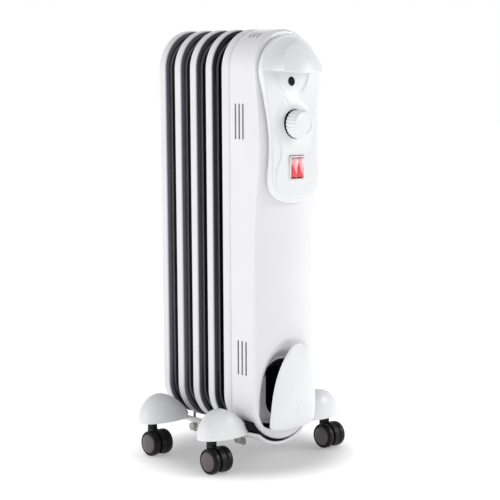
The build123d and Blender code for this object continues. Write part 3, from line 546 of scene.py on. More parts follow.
OWN_FINISHES = {"fin_paint": fin_paint, "rocker_red": rocker_red, "galvanised_sheet": galvanised_sheet}
MADE = {}


def plain_finish(name):
    values = dict(PLAIN_FINISHES[name])
    if isinstance(values["colour"], str):
        values["colour"] = getattr(bpy.context.scene.heater_finishes, values["colour"])
    return moulded(name, **values)[0].material


def finish(name):
    """A finish by name, made once."""
    if name not in MADE:
        MADE[name] = OWN_FINISHES[name]() if name in OWN_FINISHES else plain_finish(name)
    return MADE[name]


# ---- what a user would change ----
def length(name, text, default):
    return bpy.props.FloatProperty(name=name, description=text, default=default * MM, unit="LENGTH",
                                   precision=4)


def tint(name, text, default):
    return bpy.props.FloatVectorProperty(name=name, description=text, default=default, subtype="COLOR",
                                         size=3, min=0.0, max=1.0)


class HeaterSizes(bpy.types.PropertyGroup):
    edge_radius: length("Case Edge", "Radius between the case's side and its crowned front", 4.0)
    recess_depth: length("Recess Depth", "How far the white scoop falls before the cord store begins", 13.0)
    slot_width: length("Slot Width", "Width of the air slots in the case", 3.0)
    panel_edge: length("Panel Edge", "Radius of the control panel's rounded rim", 3.6)
    step_depth: length("Panel Step", "Height of the keyhole step round the knob and the switch", 1.2)
    rib_count: bpy.props.IntProperty(name="Knob Ribs", description="Grip ribs round the knob",
                                     default=24, min=8)


class HeaterFinishes(bpy.types.PropertyGroup):
    white_enamel: tint("White Enamel", "Baked paint on the fins, case and feet", (0.80, 0.79, 0.815))
    white_plastic: tint("White Plastic", "Moulded panel, hood, shield and caster covers", (0.82, 0.83, 0.845))
    knob_plastic: tint("Knob Plastic", "The knob", (0.84, 0.85, 0.86))
    # The front and rear web tints are painted shade deep between the fins, not paint colours.
    web_front: tint("Front Web Shade", "Enamel deep between the front fins", (0.004, 0.004, 0.007))
    web_rear: tint("Rear Web Shade", "Enamel deep between the rear fins", (0.085, 0.085, 0.105))
    # A painted highlight along the bead round the oil channel, not a paint colour.
    web_shoulder_highlight: tint("Channel Highlight", "Enamel along the bead round the oil channel", (0.42, 0.42, 0.46))
    rocker_deep: tint("Rocker Red", "Red acrylic at its deepest", (0.62, 0.005, 0.016))
    # A painted highlight on the rockers, not a colour of the acrylic.
    rocker_pale: tint("Rocker Glow", "Red acrylic where light gathers", (1.0, 0.36, 0.4))
    hub_cap: tint("Hub Cap", "Wheel hub caps", (0.085, 0.065, 0.075))


# ---- shapes shared by neighbouring pieces ----
CASE_LOW_Z, CASE_HIGH_Z = BOX_LOW.z + BOX_HALF - 3.0, BOX_HIGH.z - BOX_HALF
SLOT_ROWS = ((425.5, 471.0, 11.5, 26.0), (120.5, 166.0, 14.0, 29.5))
CROWN_FRONT = 61.7
LIP = through(((110, 46), (300, 46), (350, 50), (401, 56), (439, 57.2), (476, 53.7), (500, 51),
               (525, 49.3), (564, 48.4)))
STORE_Z, STORE_HALF, STORE_RISE, STORE_DROP = 72.0, 47.5, 98.0, 25.0
STORE_TOP, STORE_BOTTOM = 2.5, 2.7
STORE_MOUTH = 0.79
PANEL_Z = (345.0, 557.8)
PANEL_ARCH = 49.5
PANEL_SPINE = (386, 508)
SHIELD_SPINE = (62.0, 128)
SCOOP_RADIUS, SCOOP_DEPTH, SCOOP_EASE = 29.5, 1.8, 3.5
SWITCH_MIDDLE = (SWITCH_LOW.z + SWITCH_HIGH.z) / 2
KNOB_MIDDLE = (KNOB_LOW.z + KNOB_HIGH.z) / 2
KNOB_FORWARD = 2.0
HOOD_Z = 510.0
HOOD_FOOT, HOOD_WAIST, HOOD_CREASE = (48, 45.8), (37.5, 39.8), (32.5, 36.2)
HOOD_PLANE, HOOD_LEAN = -85, 12.5
WELL_Z = 498.6
STRAP_Z, STRAP_RADIUS = 81.5, 53.9


def crown(half, z):
    """How far the cover stands in front of the seam at a distance from its middle line."""
    front = CROWN_FRONT - 12 * max(0.0, z - 420) / 144
    lip = LIP(z)
    return lip + (front - lip) * (1 - (half / BOX_HALF) ** 2)


def store_share(x, z):
    """0 in the middle of the cord store's outline and 1 on it."""
    square, reach = (STORE_TOP, STORE_RISE) if z > STORE_Z else (STORE_BOTTOM, STORE_DROP)
    return ((abs(x) / STORE_HALF) ** square + (abs(z - STORE_Z) / reach) ** square) ** (1 / square)


def store_mouth(grow=0.0):
    """The outline, as (x, z), of the dark opening that the cord goes into."""
    return tongue_ring(41.0 + grow, 71.0 + grow, 18.5 + grow, 67.0, bottom=3.2)


def panel_setback(z):
    lean = 10.5 / 168
    bend = through(((384, 0.0), (398, 0.35), (412, 0.875)))
    return 69.2 - (bend(z) if z < 412 else (z - 398) * lean)


def panel_outline():
    """The panel's outline, clockwise from the top, as (x, z)."""
    shoulder = PANEL_Z[1] - PANEL_ARCH
    arch = [(PANEL_ARCH * math.sin(a), shoulder + PANEL_ARCH * math.cos(a)) for a in spread(0, math.pi / 2, 30)]
    side = smooth_path([(49.2, 520), (PANEL_ARCH, shoulder), (46, 486), (41.8, 452), (40.0, 424),
                        (40.3, 400), (41.3, 378), (38.2, 362), (29, 351), (15, 346.2), (0, PANEL_Z[0]),
                        (-15, 346.2)], 10)
    right = arch + side[1:]
    return right + [(-x, z) for x, z in right[-2:0:-1]]


def toward_middle(x, z, inset, spine):
    """A point moved in from the outline by inset, towards an upright spine on the middle line."""
    low, high = spine
    cz = min(high, max(low, z))
    reach = math.hypot(x, z - cz)
    share = max(0.0, 1 - inset / reach)
    return x * share, cz + (z - cz) * share


def keyhole(x, z):
    """Signed distance to the keyhole step, negative inside."""
    ring = math.hypot(x, z - KNOB_MIDDLE) - SCOOP_RADIUS
    neck = max(abs(x) - 24.5, abs(z - 412) - 34)
    dx, dz = max(0.0, abs(x) - 12), max(0.0, abs(z - 378) - 3)
    lobe = math.hypot(dx, dz) - 22
    lowest = min(ring, neck, lobe)
    pull = 3.0
    return -pull * math.log(sum(math.exp(-(d - lowest) / pull) for d in (ring, neck, lobe))) + lowest


# ---- operators ----
class HEATER_OT_fins(bpy.types.Operator):
    """Pressed fins with rolled edge strips, and the hub tubes that join them"""
    bl_idname = "heater.fins"
    bl_label = "Fins"

    def execute(self, context):
        low_z, high_z = REAR_LOW.z + FIN_HALF, REAR_HIGH.z - FIN_HALF
        rear_y = REAR_HIGH.y - FIN_STRIP / 2
        front_y = SEAM_Y + FIN_STRIP / 2
        step = (rear_y - front_y) / 4
        web = [(8.6, 0.8), (9.6, 1.4), (10.8, 3.4), (12.2, 4.4), (13.6, 3.4), (14.8, 1.4), (16.0, 0.8),
               (19.5, 0.8), (21.0, 1.6), (23.0, 5.0), (25.0, 6.2), (30.0, 6.6), (36.0, 6.3), (38.4, 4.8),
               (40.2, 1.6), (41.6, 0.8), (51.4, 0.8)]
        rear = [(0.35, 0.0), (0.45, 2.6), (0.1, 5.0), (0.05, 6.0), (0.5, 7.0), (1.5, 7.45), (2.5, 7.2),
                (3.0, 6.3), (2.6, 4.6), (2.7, 3.0), (3.6, 1.7), (5.2, 1.0)]
        fore = [(0.35, 1.2), (0.75, 2.9), (1.5, 4.6), (2.6, 6.0), (3.9, 7.0), (5.1, 7.4), (6.0, 7.0),
                (6.3, 6.0), (6.0, 3.6), (6.4, 1.8), (7.4, 1.0)]
        section = [(d, -y) for d, y in reversed(fore + web)] + rear + web
        rings = [[(x, front_y + y, z) for x, z in slot_ring(FIN_HALF - d, low_z, high_z, 40, 44)]
                 for d, y in section]
        fins = loft("Fin_Stack", rings, ends="first last", seam_arc=40)
        repeat(fins, 5, step=(0, step, 0), finish_name="fin_paint")
        dress(fins, "fin_paint", "heater", "fin_1", "fin_2", "fin_3", "fin_4", "fin_5", crease=40)

        half_tube = [(15.5, 0.4), (15.0, 0.7), (15.0, step / 2 - 11), (16.2, step / 2 - 8.6),
                     (18.5, step / 2 - 7.2)]
        tube = [(radius, -along) for radius, along in reversed(half_tube)] + half_tube
        levels = []
        for z in (low_z, high_z):
            hub = spun("Hub", tube, (0, front_y + step / 2, z), "y", 40)
            levels.append(repeat(hub, 4, step=(0, step, 0), finish_name="fin_paint"))
        dress(joined("Hub_Tubes", levels), "fin_paint", "heater")
        return {"FINISHED"}


class HEATER_OT_case(bpy.types.Operator):
    """The control case: flat sides, a crowned front, air slots and the scooped mouth of the cord store"""
    bl_idname = "heater.case"
    bl_label = "Case"

    def execute(self, context):
        sizes = context.scene.heater_sizes
        edge, fall = sizes.edge_radius / MM, sizes.recess_depth / MM

        def ring(half, setback):
            outline = slot_ring(half, CASE_LOW_Z, CASE_HIGH_Z, 64, 120)
            return [(x, SEAM_Y - setback(x, z), z) for x, z in outline]

        rings = [ring(BOX_HALF - 1.1, lambda x, z: 0.0), ring(BOX_HALF - 0.3, lambda x, z: 0.3),
                 ring(BOX_HALF, lambda x, z: 1.0)]
        for share in (0.12, 0.25, 0.4, 0.55, 0.7, 0.85, 0.95, 1.0):
            rings.append(ring(BOX_HALF, lambda x, z, s=share: 1 + s * (LIP(z) - edge - 1)))
        for a in spread(0, math.pi / 2, 9)[1:]:
            half = BOX_HALF - edge * (1 - math.cos(a))
            rings.append(ring(half, lambda x, z, h=half, s=math.sin(a): crown(h, z) - edge * (1 - s)))
        reach = BOX_HALF - edge
        for half in spread(reach, 0.0, 50)[1:]:
            def front(x, z, h=half):
                share = (1 - store_share(x, z)) / (1 - STORE_MOUTH)
                scoop = fall * min(1.4, max(0.0, share)) ** 1.7
                return crown(h, z) - scoop
            rings.append(ring(half, front))
        case = loft("Control_Box", rings)
        wall(case, 1.8)

        cut(case, prism("Mouth", store_mouth(), 34, 80))
        pocket = prism("Pocket", round_box(11.3, 14.3, 1.0, SWITCH_MIDDLE), 40, 90)
        cut(case, pocket, *self.slots(sizes.slot_width / MM))
        dress(case, "white_paint", "heater", "housing_shell", "front_cover", crease=50)

        # A near-black sheet inside the case, painted shade that makes the air slots look dark.
        slot_shade_outline = slot_ring(BOX_HALF - 2.2, CASE_LOW_Z, CASE_HIGH_Z)
        slot_shade = loft("Slot_Liner", [[(x, SEAM_Y - y, z) for x, z in slot_shade_outline] for y in (2.0, 42.0)])
        wall(slot_shade, 0.6)
        dress(slot_shade, "store_black", "heater")

        store = [[(x, SEAM_Y - setback, z) for x, z in store_mouth(0.6)] for setback in (26.4, 30, 38)]
        store.append([(x, SEAM_Y - max(38.5, crown(abs(x), z) - fall * 1.35), z)
                      for x, z in store_mouth(0.8)])
        well = loft("Cord_Store", store, ends="first")
        wall(well, 1.0)
        dress(well, "store_black", "heater", "cord_store", crease=50)
        return {"FINISHED"}

    def slots(self, width):
        """Upright slots in both sides and curved ones over both shoulders."""
        cutters = []
        inner, outer = BOX_HALF - 5, BOX_HALF + 3
        for low_z, high_z, first, last in SLOT_ROWS:
            outline = round_box(width / 2, (high_z - low_z) / 2, width / 2 - 0.01, (low_z + high_z) / 2, 6)
            for side in (-1, 1):
                slot = loft("Slot", [[(side * x, SEAM_Y - first + y, z) for y, z in outline]
                                     for x in (inner, outer)], ends="first last")
                cutters.append(repeat(slot, 3, step=(0, -(last - first) / 2, 0)))
        for side in (-1, 1):
            angles = spread(math.radians(23), math.radians(37), 10)
            rings = []
            for a in angles:
                sine, cosine = side * math.sin(a), math.cos(a)
                rings.append([(r * sine, SEAM_Y - 14.5 + y, CASE_HIGH_Z + r * cosine)
                              for r, y in ((inner, -width / 2), (outer, -width / 2), (outer, width / 2),
                                           (inner, width / 2))])
            slot = loft("Slot", rings, ends="first last")
            cutters.append(repeat(slot, 3, step=(0, -7.5, 0)))
        return cutters


class HEATER_OT_shield(bpy.types.Operator):
    """The bowed shield in front of the cord store, and the core that the cord winds round, in near-black that
    stands for painted shade behind the shield
    """
    bl_idname = "heater.shield"
    bl_label = "Cord Shield"

    def execute(self, context):
        outline = tongue_ring(38.8, 101.5, 14.0, SHIELD_SPINE[0], 180, bottom=3.3)

        def setback(x, z):
            fore = 4 * ((z - 115) / 55) ** 2 if z > 115 else 19 * ((115 - z) / 75) ** 2
            return 77 - (fore ** 3 + (19 * (x / 50) ** 2) ** 3) ** (1 / 3)

        def ring(inset, back):
            points = [toward_middle(x, z, inset, SHIELD_SPINE) for x, z in outline]
            return [(x, SEAM_Y - setback(x, z) + back, z) for x, z in points]

        insets = [36, 30, 24, 18, 13, 9, 6, 4, 2.6]
        rim = [(1.5, 0.15), (0.7, 0.55), (0.2, 1.1), (0.0, 1.7), (0.2, 2.4), (0.8, 3.0)]
        front, back = [(inset, 0) for inset in insets], [(inset, 3.2) for inset in reversed(insets)]
        rings = [ring(inset, depth) for inset, depth in front + rim + back]
        shield = loft("Cord_Shield", rings, ends="first last")
        dress(shield, "white_plastic", "heater", "cord_shield", crease=50)

        rings = []
        for setback_y, half in ((26.5, 13.5), (29, 12), (55, 12)):
            rings.append([(x, SEAM_Y - setback_y, z) for x, z in slot_ring(half, 82, 114, 16, 6)])
        rings.append([(x, SEAM_Y - setback(x, z) + 2.9, z) for x, z in slot_ring(12, 82, 114, 16, 6)])
        # The core is given near-black as painted shade behind the shield.
        dress(loft("Cord_Core", rings, ends="first last"), "store_black", "heater")
        return {"FINISHED"}


class HEATER_OT_panel(bpy.types.Operator):
    """The keyhole-stepped control panel, its screw well lined with near-black painted shade, and a near-black
    ring of painted shade behind the knob
    """
    bl_idname = "heater.panel"
    bl_label = "Control Panel"

    def execute(self, context):
        sizes = context.scene.heater_sizes
        edge, step = sizes.panel_edge / MM, sizes.step_depth / MM
        outline = panel_outline()

        def face(x, z):
            raised = step * ease(0.5 - keyhole(x, z) / 1.9)
            if z < HOOD_Z + 4:
                raised -= SCOOP_DEPTH * ease((SCOOP_RADIUS - math.hypot(x, z - HOOD_Z)) / SCOOP_EASE)
            return panel_setback(z) + raised

        def moved_in(inset):
            return [toward_middle(x, z, inset, PANEL_SPINE) for x, z in outline]

        def ring(inset, back):
            return [(x, SEAM_Y - face(x, z) + back, z) for x, z in moved_in(inset)]

        def skirt(x, z, proud):
            return min(crown(min(abs(x), BOX_HALF), z) + proud, panel_setback(z) - edge - 0.4)

        rings = []
        for inset, proud in ((4.2, -3.0), (4.2, 1.8), (3.2, 2.8), (0.6, 2.8), (0.0, 3.6)):
            rings.append([(x, SEAM_Y - skirt(x, z, proud), z) for x, z in moved_in(inset)])
        for a in spread(0, math.pi / 2, 9):
            rings.append(ring(edge * (1 - math.cos(a)), edge * (1 - math.sin(a))))
        rings += [ring(inset, 0) for inset in spread(edge, 38, 76)[1:]]
        rings.append(ring(60, 0))
        panel = loft("Control_Panel", rings)
        wall(panel, 2.2)

        def round_hole(radius, z, count):
            return spun("Hole", [(radius, -6), (radius, 40)], (0, SEAM_Y - 90, z), "y", count, "first last")

        cut(panel, round_hole(KNOB_HIGH.x + 0.4, KNOB_MIDDLE, 72), round_hole(6, WELL_Z, 48),
            prism("Hole", round_box(11.5, 14.5, 1.5, SWITCH_MIDDLE), 50, 96))
        dress(panel, "white_plastic", "heater", "control_panel", crease=45)

        # The screw well's near-black sleeve is painted shade.
        cup = [(0.2, 8), (6.0, 8), (6.0, 2.6), (6.9, 2.6), (6.9, 9), (0.2, 9)]
        well = spun("Screw_Well", cup, (0, SEAM_Y - panel_setback(WELL_Z), WELL_Z), "y", 48)
        dress(well, "store_black", "heater")
        # A near-black ring behind the knob, painted shade in the gap round it.
        rim = KNOB_HIGH.x + 0.35
        knob_shade = spun("Knob_Rest", [(3.2, 1.2), (rim, 4.2), (rim, 1.6), (rim - 1.4, 0.5), (3.2, 0.5)],
                    (0, KNOB_HIGH.y - KNOB_FORWARD, KNOB_MIDDLE), "y", 72)
        dress(knob_shade, "store_black", "heater")
        return {"FINISHED"}


class HEATER_OT_hood(bpy.types.Operator):
    """The hooded hand grip over the top of the panel"""
    bl_idname = "heater.hood"
    bl_label = "Handle Hood"

    def execute(self, context):
        rings = []
        for a in spread(-math.pi / 2, math.pi / 2, 73):
            sine, cosine = math.sin(a), math.cos(a)
            foot_z = HOOD_Z + HOOD_FOOT[1] * cosine
            foot = Vector((HOOD_FOOT[0] * sine, -panel_setback(foot_z) + 1.0, foot_z))
            crease = Vector((HOOD_CREASE[0] * sine, HOOD_PLANE + HOOD_LEAN * cosine,
                             HOOD_Z + HOOD_CREASE[1] * cosine))
            waist = Vector((HOOD_WAIST[0] * sine, 0.62 * foot.y + 0.38 * crease.y,
                            HOOD_Z + HOOD_WAIST[1] * cosine))
            line = []
            for t in (0, 0.06, 0.14, 0.24, 0.36, 0.5, 0.64, 0.77, 0.88, 0.95):
                line.append((1 - t) ** 2 * foot + 2 * t * (1 - t) * waist + t * t * crease)
            for s in (1.0, 0.985, 0.96, 0.92, 0.86, 0.78, 0.68, 0.56, 0.43, 0.3, 0.17, 0.06, 0.0):
                z = HOOD_Z + s * HOOD_CREASE[1] * cosine
                plane = HOOD_PLANE + HOOD_LEAN * (z - HOOD_Z) / HOOD_CREASE[1]
                line.append(Vector((s * HOOD_CREASE[0] * sine, plane - 7.6 * (1 - s * s), z)))
            rings.append([(p.x, SEAM_Y + p.y, p.z + self.corner_lift(p)) for p in line])
        hood = loft("Handle_Hood", rings, around=False)
        face_towards(hood, Vector((0, -1, 0)))
        wall(hood, 2.8)
        soften(hood, 0.7, 2, 60)
        dress(hood, "white_plastic", "heater", "handle_hood", crease=24)
        return {"FINISHED"}

    def corner_lift(self, point):
        """The hood's two lower corners turn up a little."""
        return 3.2 * (point.x / HOOD_FOOT[0]) ** 2 * max(0.0, 1 - (point.z - HOOD_Z) / 25)


class HEATER_OT_controls(bpy.types.Operator):
    """The ribbed thermostat knob and the two red rocker switches in their bezel"""
    bl_idname = "heater.controls"
    bl_label = "Knob and Switches"

    def execute(self, context):
        sizes = context.scene.heater_sizes
        self.knob(sizes.rib_count)
        self.switch(sizes.step_depth / MM)
        for hand in ("left", "right"):
            rocker = copied(f"rocker_{hand}", f"Rocker_{hand}", 0.35)
            dress(rocker, "rocker_red", f"rocker_{hand}", f"rocker_{hand}")
        return {"FINISHED"}

    def knob(self, ribs):
        back, long, body = KNOB_HIGH.y - KNOB_FORWARD, KNOB_HIGH.y - KNOB_LOW.y, KNOB_HIGH.x - 0.9
        profile = [(0.3, 0), (body - 0.5, 0), (body, -0.6), (body - 0.8, 2.6 - long), (body - 1.2, 1.2 - long),
                   (body - 2.2, 0.35 - long), (body - 3.6, -long), (body - 5.0, 0.25 - long),
                   (body - 5.6, 0.9 - long), (6.0, 0.7 - long), (0.3, 0.6 - long)]
        turned = spun("Knob", profile, (0, back, KNOB_MIDDLE), "y", 96, "first last")
        rib_rings = []
        for along, size in ((0.15, 0.5), (0.5, 1.0), (long - 3.6, 0.95), (long - 2.2, 0.7), (long - 1.5, 0.25)):
            centre = body - 0.2 - 0.8 * along / long
            rib_rings.append([(centre + 1.05 * size * math.cos(a), -along, 1.35 * size * math.sin(a))
                              for a in turns(10)])
        rib = loft("Rib", rib_rings, ends="first last")
        repeat(rib, ribs, turn=(0, 2 * math.pi / ribs, 0), finish_name="knob_plastic")
        rib.data.transform(Matrix.Translation((0, back * MM, KNOB_MIDDLE * MM)))
        knob = joined("Thermostat_Knob", [turned, rib])
        dress(knob, "knob_plastic", "knob", "thermostat_knob", crease=40)

    def switch(self, step):
        """The bezel with its divider bar, a dark grey ring of painted shade round it, shifted up and to the
        right, and the dark well behind the rockers.
        """
        half_x, half_z = (SWITCH_HIGH.x - SWITCH_LOW.x) / 2, (SWITCH_HIGH.z - SWITCH_LOW.z) / 2
        front = SWITCH_LOW.y

        def outline(inset, radius):
            return round_box(half_x - inset, half_z - inset, radius, SWITCH_MIDDLE, 6)

        def ring(inset, back, radius):
            return [(x, front + back, z) for x, z in outline(inset, radius)]

        rings = [ring(0.3, 6.0, 1.8), ring(0.0, 1.4, 2.2), ring(0.15, 0.6, 2.1), ring(0.7, 0, 1.6),
                 ring(1.5, 0, 1.2), ring(1.9, 0.3, 0.8), ring(2.0, 0.9, 0.7), ring(2.0, 12, 0.7)]
        left, right = corners("rocker_left")[1].x + 0.1, corners("rocker_right")[0].x - 0.1
        bar = [(left, front + 0.9), (right, front + 0.9), (right, front + 11.5), (left, front + 11.5)]
        divider = loft("Divider", [[(x, y, SWITCH_MIDDLE + dz) for x, y in bar]
                                   for dz in (2 - half_z, half_z - 2)], ends="first last")
        dress(joined("Switch_Bezel", [loft("Bezel", rings), divider]), "bezel_plastic", "heater")

        # A dark grey ring of painted shade round the bezel, shifted up and to the right so it shows as a line
        # along the top and the right.
        face = SEAM_Y - panel_setback(SWITCH_MIDDLE) - step
        shade_line = [[(x + 0.35, face + y, z + 0.3) for x, z in outline(inset, 2.0)]
                  for inset, y in ((-0.35, 1.0), (-0.35, -0.2), (1.0, -0.2), (1.0, 1.0))]
        dress(loft("Switch_Gasket", shade_line + shade_line[:1]), "gasket_rubber", "heater")

        trim = [ring(2.3, 11.8, 0.6), ring(0.8, 11.8, 0.6), ring(0.8, 13.0, 0.6), ring(2.3, 13.0, 0.6)]
        dress(loft("Switch_Well", trim, ends="first last"), "store_black", "heater", "switch_housing")


class HEATER_OT_feet(bpy.types.Operator):
    """The two foot straps with their domed caster covers"""
    bl_idname = "heater.feet"
    bl_label = "Feet"

    def execute(self, context):
        for end in ("front", "rear"):
            cover_low, cover_high = corners(f"caster_cover_{end}_left")
            middle_y = (cover_low.y + cover_high.y) / 2
            self.strap(end, middle_y)
            if end == "front":
                self.pad(middle_y)
            for hand, side in (("left", -1), ("right", 1)):
                self.cover(end, hand, side, middle_y)
        return {"FINISHED"}

    def strap(self, end, middle_y):
        """A flat strap that dips under the body, and the tail that runs back beneath it."""
        high = corners(f"foot_strap_{end}")[1]
        centre_z, radius, arm_z, thick = STRAP_Z, STRAP_RADIUS + 2.1, 45.5, 4.0
        meet = math.acos((centre_z - arm_z) / radius)
        path = [(-high.x, arm_z), (-80, arm_z), (-62, arm_z), (-52, arm_z - 0.6)]
        path += [(radius * math.sin(a), centre_z - radius * math.cos(a))
                 for a in spread(-(meet - 0.12), meet - 0.12, 41)]
        path += [(-x, z) for x, z in reversed(path[:4])]
        tail = (high.y - middle_y - 16) / 2
        tail_rings = []
        for a in spread(-0.45, 0.45, 25):
            x, z = radius * math.sin(a), centre_z - radius * math.cos(a)
            tail_rings.append([(x - dn * math.sin(a), middle_y + 16 + tail + dy, z + dn * math.cos(a))
                               for dy, dn in round_box(tail, thick / 2 - 0.05, 1.2, 0.0, 5)])
        tail_piece = loft("Tail", tail_rings, ends="first last")
        smooth = smooth_path([path[0]] + path + [path[-1]], 2)
        rings = []
        for i, (x, z) in enumerate(smooth):
            ahead, behind = smooth[min(i + 1, len(smooth) - 1)], smooth[max(i - 1, 0)]
            run = Vector((ahead[0] - behind[0], ahead[1] - behind[1])).normalized()
            up = Vector((-run.y, run.x))
            wide = 12 + 12 * ease((56 - abs(x)) / 18)
            rings.append([(x + up.x * dn, middle_y + dy, z + up.y * dn)
                          for dy, dn in round_box(wide, thick / 2, 1.3, 0.0, 5)])
        strap = joined(f"Foot_Strap_{end}", [loft("Strap", rings, ends="first last"), tail_piece])
        dress(strap, "white_paint", "heater", f"foot_strap_{end}")

    def pad(self, middle_y):
        """A black wedge that fills the gap between the front strap and the case's round bottom."""
        def bow(radius, centre_z, angles):
            return [(radius * math.sin(a), centre_z - radius * math.cos(a)) for a in angles]

        half = bow(STRAP_RADIUS, STRAP_Z, spread(0, 0.82, 16))
        half += [(46, 48), (52.5, 49), (54.6, 52.5), (54.9, 58)]
        half += bow(BOX_HALF - 0.8, CASE_LOW_Z, spread(1.08, 0, 30))
        outline = half + [(-x, z) for x, z in half[-2:0:-1]]
        pad = loft("Strap_Pad", [[(x, middle_y + y, z) for x, z in outline]
                                 for y in (-20.5, -19.9, 19.9, 20.5)], ends="first last")
        dress(pad, "black_rubber", "heater", "strap_pad")

    def cover(self, end, hand, side, middle_y):
        """A smooth dome that stops just short of the body's round bottom."""
        low, high = corners(f"caster_cover_{end}_{hand}")
        reach, depth, rise = max(abs(low.x), abs(high.x)) - 80, (high.y - low.y) / 2, 37.0
        body_z = REAR_LOW.z + FIN_HALF
        rings = []
        for v in [0.0, 0.03, 0.07] + spread(0.12, 1.0, 19):
            lift = math.sin(v * math.pi / 2)
            z = low.z + 0.8 + (rise - 0.8) * lift
            gap = math.sqrt((FIN_HALF + 8.3) ** 2 - max(0.0, body_z - z) ** 2)
            ring = []
            for a in turns(72):
                c, s = math.cos(a), math.sin(a)
                plump = 2.2 + 0.95 * min(0.0, c)
                shrink = max(0.0, 1 - lift ** plump) ** (1 / plump)
                x = 80 + 7 * lift ** 2 * (1 - shrink) + shrink * reach * math.copysign(abs(c) ** 0.96, c)
                y = middle_y + shrink * depth * math.copysign(abs(s) ** 0.94, s)
                ring.append((side * max(x, gap, 53.0 if z < 48 else 0.0), y, z))
            rings.append(ring)
        rings.insert(0, [(x, y, low.z) for x, y, z in rings[0]])
        dome = loft(f"Caster_Cover_{end}_{hand}", rings, ends="last")
        orient(dome, 4e-5)
        wall(dome, 1.6)
        soften(dome, 0.6, 2, 50)
        dress(dome, "white_plastic", "heater", f"caster_cover_{end}_{hand}", crease=42)


class HEATER_OT_wheels(bpy.types.Operator):
    """Twin wheels with domed hub caps"""
    bl_idname = "heater.wheels"
    bl_label = "Wheels"

    def execute(self, context):
        for end in ("front", "rear"):
            for hand in ("left", "right"):
                for mark in ("a", "b"):
                    self.wheel(f"wheel_{end}_{hand}_{mark}", f"yoke_{end}_{hand}")
        return {"FINISHED"}

    def wheel(self, node, yoke):
        low, high = corners(node)
        yoke_low, yoke_high = corners(yoke)
        centre = (low + high) / 2
        side = 1 if centre.x > (yoke_low.x + yoke_high.x) / 2 else -1
        inner = low.x if side > 0 else high.x
        radius, width = (high.z - low.z) / 2, high.x - low.x
        start = (inner, centre.y, centre.z)
        tread = [(3.0, 0.4), (radius - 3.4, 0.0), (radius - 1.4, 0.5), (radius - 0.3, 1.8), (radius, 3.2),
                 (radius, width - 5.4), (radius - 0.25, width - 3.8), (radius - 1.0, width - 2.5),
                 (radius - 2.2, width - 1.8), (radius - 3.2, width - 1.9), (radius - 3.7, width - 2.9),
                 (3.0, width - 2.9)]
        tyre = spun(node, [(r, side * along) for r, along in tread], start, "x", 72, "first last")
        dress(tyre, "wheel_plastic", node, node, crease=40)
        tyre.name = node.title() + "_Tyre"
        cap = [(radius - 4.1, width - 3.2), (radius - 4.3, width - 1.9), (radius - 4.9, width - 1.35),
               (radius - 6.5, width - 0.9), (radius - 9, width - 0.5), (radius - 12, width - 0.2),
               (1.0, width - 0.05)]
        cap = [(r, side * along) for r, along in cap]
        disc = spun(node.title() + "_Cap", cap, start, "x", 64, "first last")
        dress(disc, "hub_cap", node, crease=50)


class HEATER_OT_fittings(bpy.types.Operator):
    """Finishes for the yokes, stems, bolts and everything else that keeps its shape from the frame"""
    bl_idname = "heater.fittings"
    bl_label = "Fittings"

    def execute(self, context):
        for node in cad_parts.values():
            if node.hide_render:
                continue
            for slot in node.material_slots:
                name = slot.material.name.split(".")[0] if slot.material else ""
                known = name in PLAIN_FINISHES or name in OWN_FINISHES
                slot.material = finish(name if known else "black_plastic")
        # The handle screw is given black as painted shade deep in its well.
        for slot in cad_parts["handle_screw"].material_slots:
            slot.material = finish("black_screw")
        return {"FINISHED"}


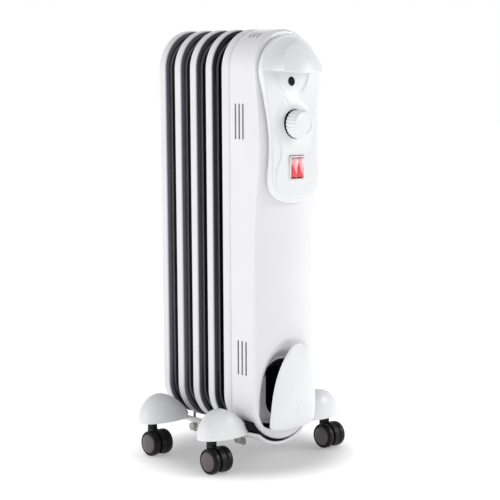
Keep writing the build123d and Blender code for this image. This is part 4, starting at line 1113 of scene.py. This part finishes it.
class HEATER_OT_stage(bpy.types.Operator):
    """A pale floor, soft studio lights and the camera"""
    bl_idname = "heater.stage"
    bl_label = "Stage"

    def execute(self, context):
        self.floor()
        self.sky(context.scene)
        self.lamps(context.scene)
        self.camera(context.scene)
        return {"FINISHED"}

    def floor(self):
        """A wide disc with a soft painted shadow under the heater."""
        rings = [[(r * math.cos(a), r * math.sin(a), -0.05) for a in turns(64)]
                 for r in (200.0, 600.0, 2000.0, 12000.0)]
        floor = loft("Floor", rings, ends="first")
        face_towards(floor, Vector((0, 0, 1)))
        sheet = Sheet("Studio Floor")
        cloud = sheet.noise(1.5)
        x, y, _ = sheet.axes()
        # shade is a painted shadow under the heater: it darkens both the floor's colour and its glow.
        shade = ((x * 7.5) * (x * 7.5) + (y * 7.0) * (y * 7.0)).root().between(0.62, 1.3)
        pale = sheet.mix(cloud, (0.9, 0.9, 0.9, 1), (0.94, 0.94, 0.94, 1))
        glow = sheet.mix(shade, (0.42, 0.42, 0.42, 1), (1.0, 1.0, 1.0, 1))
        sheet.set(Base_Color=sheet.mix(shade, (0.5, 0.5, 0.5, 1), pale), Roughness=0.75, Emission_Color=glow)
        sheet.set(Emission_Strength=0.54)
        floor.data.materials.append(sheet.material)

    def sky(self, scene):
        """Even white light that is weaker overhead and on one side."""
        world = bpy.data.worlds.new("Studio")
        world.use_nodes = True
        nodes, link = world.node_tree.nodes, world.node_tree.links.new

        def fade(source, first, last, strength):
            step = nodes.new("ShaderNodeMapRange")
            step.interpolation_type = "SMOOTHSTEP"
            for name, value in (("From Min", first), ("From Max", last), ("To Min", 1.0), ("To Max", strength)):
                step.inputs[name].default_value = value
            link(source, step.inputs["Value"])
            return step.outputs["Result"]

        place, height = nodes.new("ShaderNodeTexCoord"), nodes.new("ShaderNodeSeparateXYZ")
        behind, both = nodes.new("ShaderNodeVectorMath"), nodes.new("ShaderNodeMath")
        behind.operation, both.operation = "DOT_PRODUCT", "MULTIPLY"
        behind.inputs[1].default_value = (-0.65, -0.76, 0.0)
        link(place.outputs["Generated"], height.inputs[0])
        link(place.outputs["Generated"], behind.inputs[0])
        link(fade(height.outputs["Z"], 0.2, 0.9, 0.42), both.inputs[0])
        link(fade(behind.outputs["Value"], 0.35, 0.92, 0.35), both.inputs[1])
        link(both.outputs[0], nodes["Background"].inputs["Strength"])
        nodes["Background"].inputs["Color"].default_value = (1.0, 1.0, 1.0, 1.0)
        scene.world = world

    def lamps(self, scene):
        for name, place, size, power, aim in (
                ("Key", (1.8, -1.7, 1.4), 1.2, 20.0, (0, 0, 0.3)),
                ("Side", (-2.2, -0.1, 0.5), 1.5, 14.0, (0, 0, 0.2)),
                ("Top", (0.6, 0.4, 2.4), 1.0, 1.5, (0, 0, 0.0))):
            lamp = bpy.data.lights.new(name, "AREA")
            lamp.size = size
            lamp.energy = power
            light = bpy.data.objects.new(name, lamp)
            light.location = place
            light.rotation_euler = (Vector(aim) - Vector(place)).to_track_quat("-Z", "Y").to_euler()
            scene.collection.objects.link(light)

    def camera(self, scene):
        camera = bpy.data.cameras.new("Camera")
        camera.lens = 106.6
        camera.sensor_width = 36.0
        camera.shift_x, camera.shift_y = -0.105, 0.0872
        view = bpy.data.objects.new("Camera", camera)
        view.location = (-1.27108, -1.48832, 0.51541)
        view.rotation_euler = (math.radians(90 - 8.67), 0, math.radians(-42.63))
        scene.collection.objects.link(view)
        scene.camera = view
        scene.view_settings.view_transform = "Standard"


class HEATER_PT_panel(bpy.types.Panel):
    """Sizes, colours and the steps that build the heater"""
    bl_idname = "HEATER_PT_panel"
    bl_label = "Oil Filled Radiator"
    bl_space_type = "VIEW_3D"
    bl_region_type = "UI"
    bl_category = "Heater"

    def draw(self, context):
        for group in (context.scene.heater_sizes, context.scene.heater_finishes):
            box = self.layout.box()
            for name in group.__annotations__:
                box.prop(group, name)
        for step in STEPS:
            self.layout.operator(step.bl_idname)


STEPS = (HEATER_OT_fins, HEATER_OT_case, HEATER_OT_shield, HEATER_OT_panel, HEATER_OT_hood, HEATER_OT_controls,
         HEATER_OT_feet, HEATER_OT_wheels, HEATER_OT_fittings, HEATER_OT_stage)
CLASSES = (HeaterSizes, HeaterFinishes) + STEPS + (HEATER_PT_panel,)


def register():
    for item in CLASSES:
        bpy.utils.register_class(item)
    bpy.types.Scene.heater_sizes = bpy.props.PointerProperty(type=HeaterSizes)
    bpy.types.Scene.heater_finishes = bpy.props.PointerProperty(type=HeaterFinishes)


def unregister():
    del bpy.types.Scene.heater_finishes
    del bpy.types.Scene.heater_sizes
    for item in reversed(CLASSES):
        bpy.utils.unregister_class(item)


def main():
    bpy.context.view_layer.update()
    register()
    for step in STEPS:
        section, name = step.bl_idname.split(".")
        getattr(getattr(bpy.ops, section), name)()


if __name__ == "__main__":
    main()
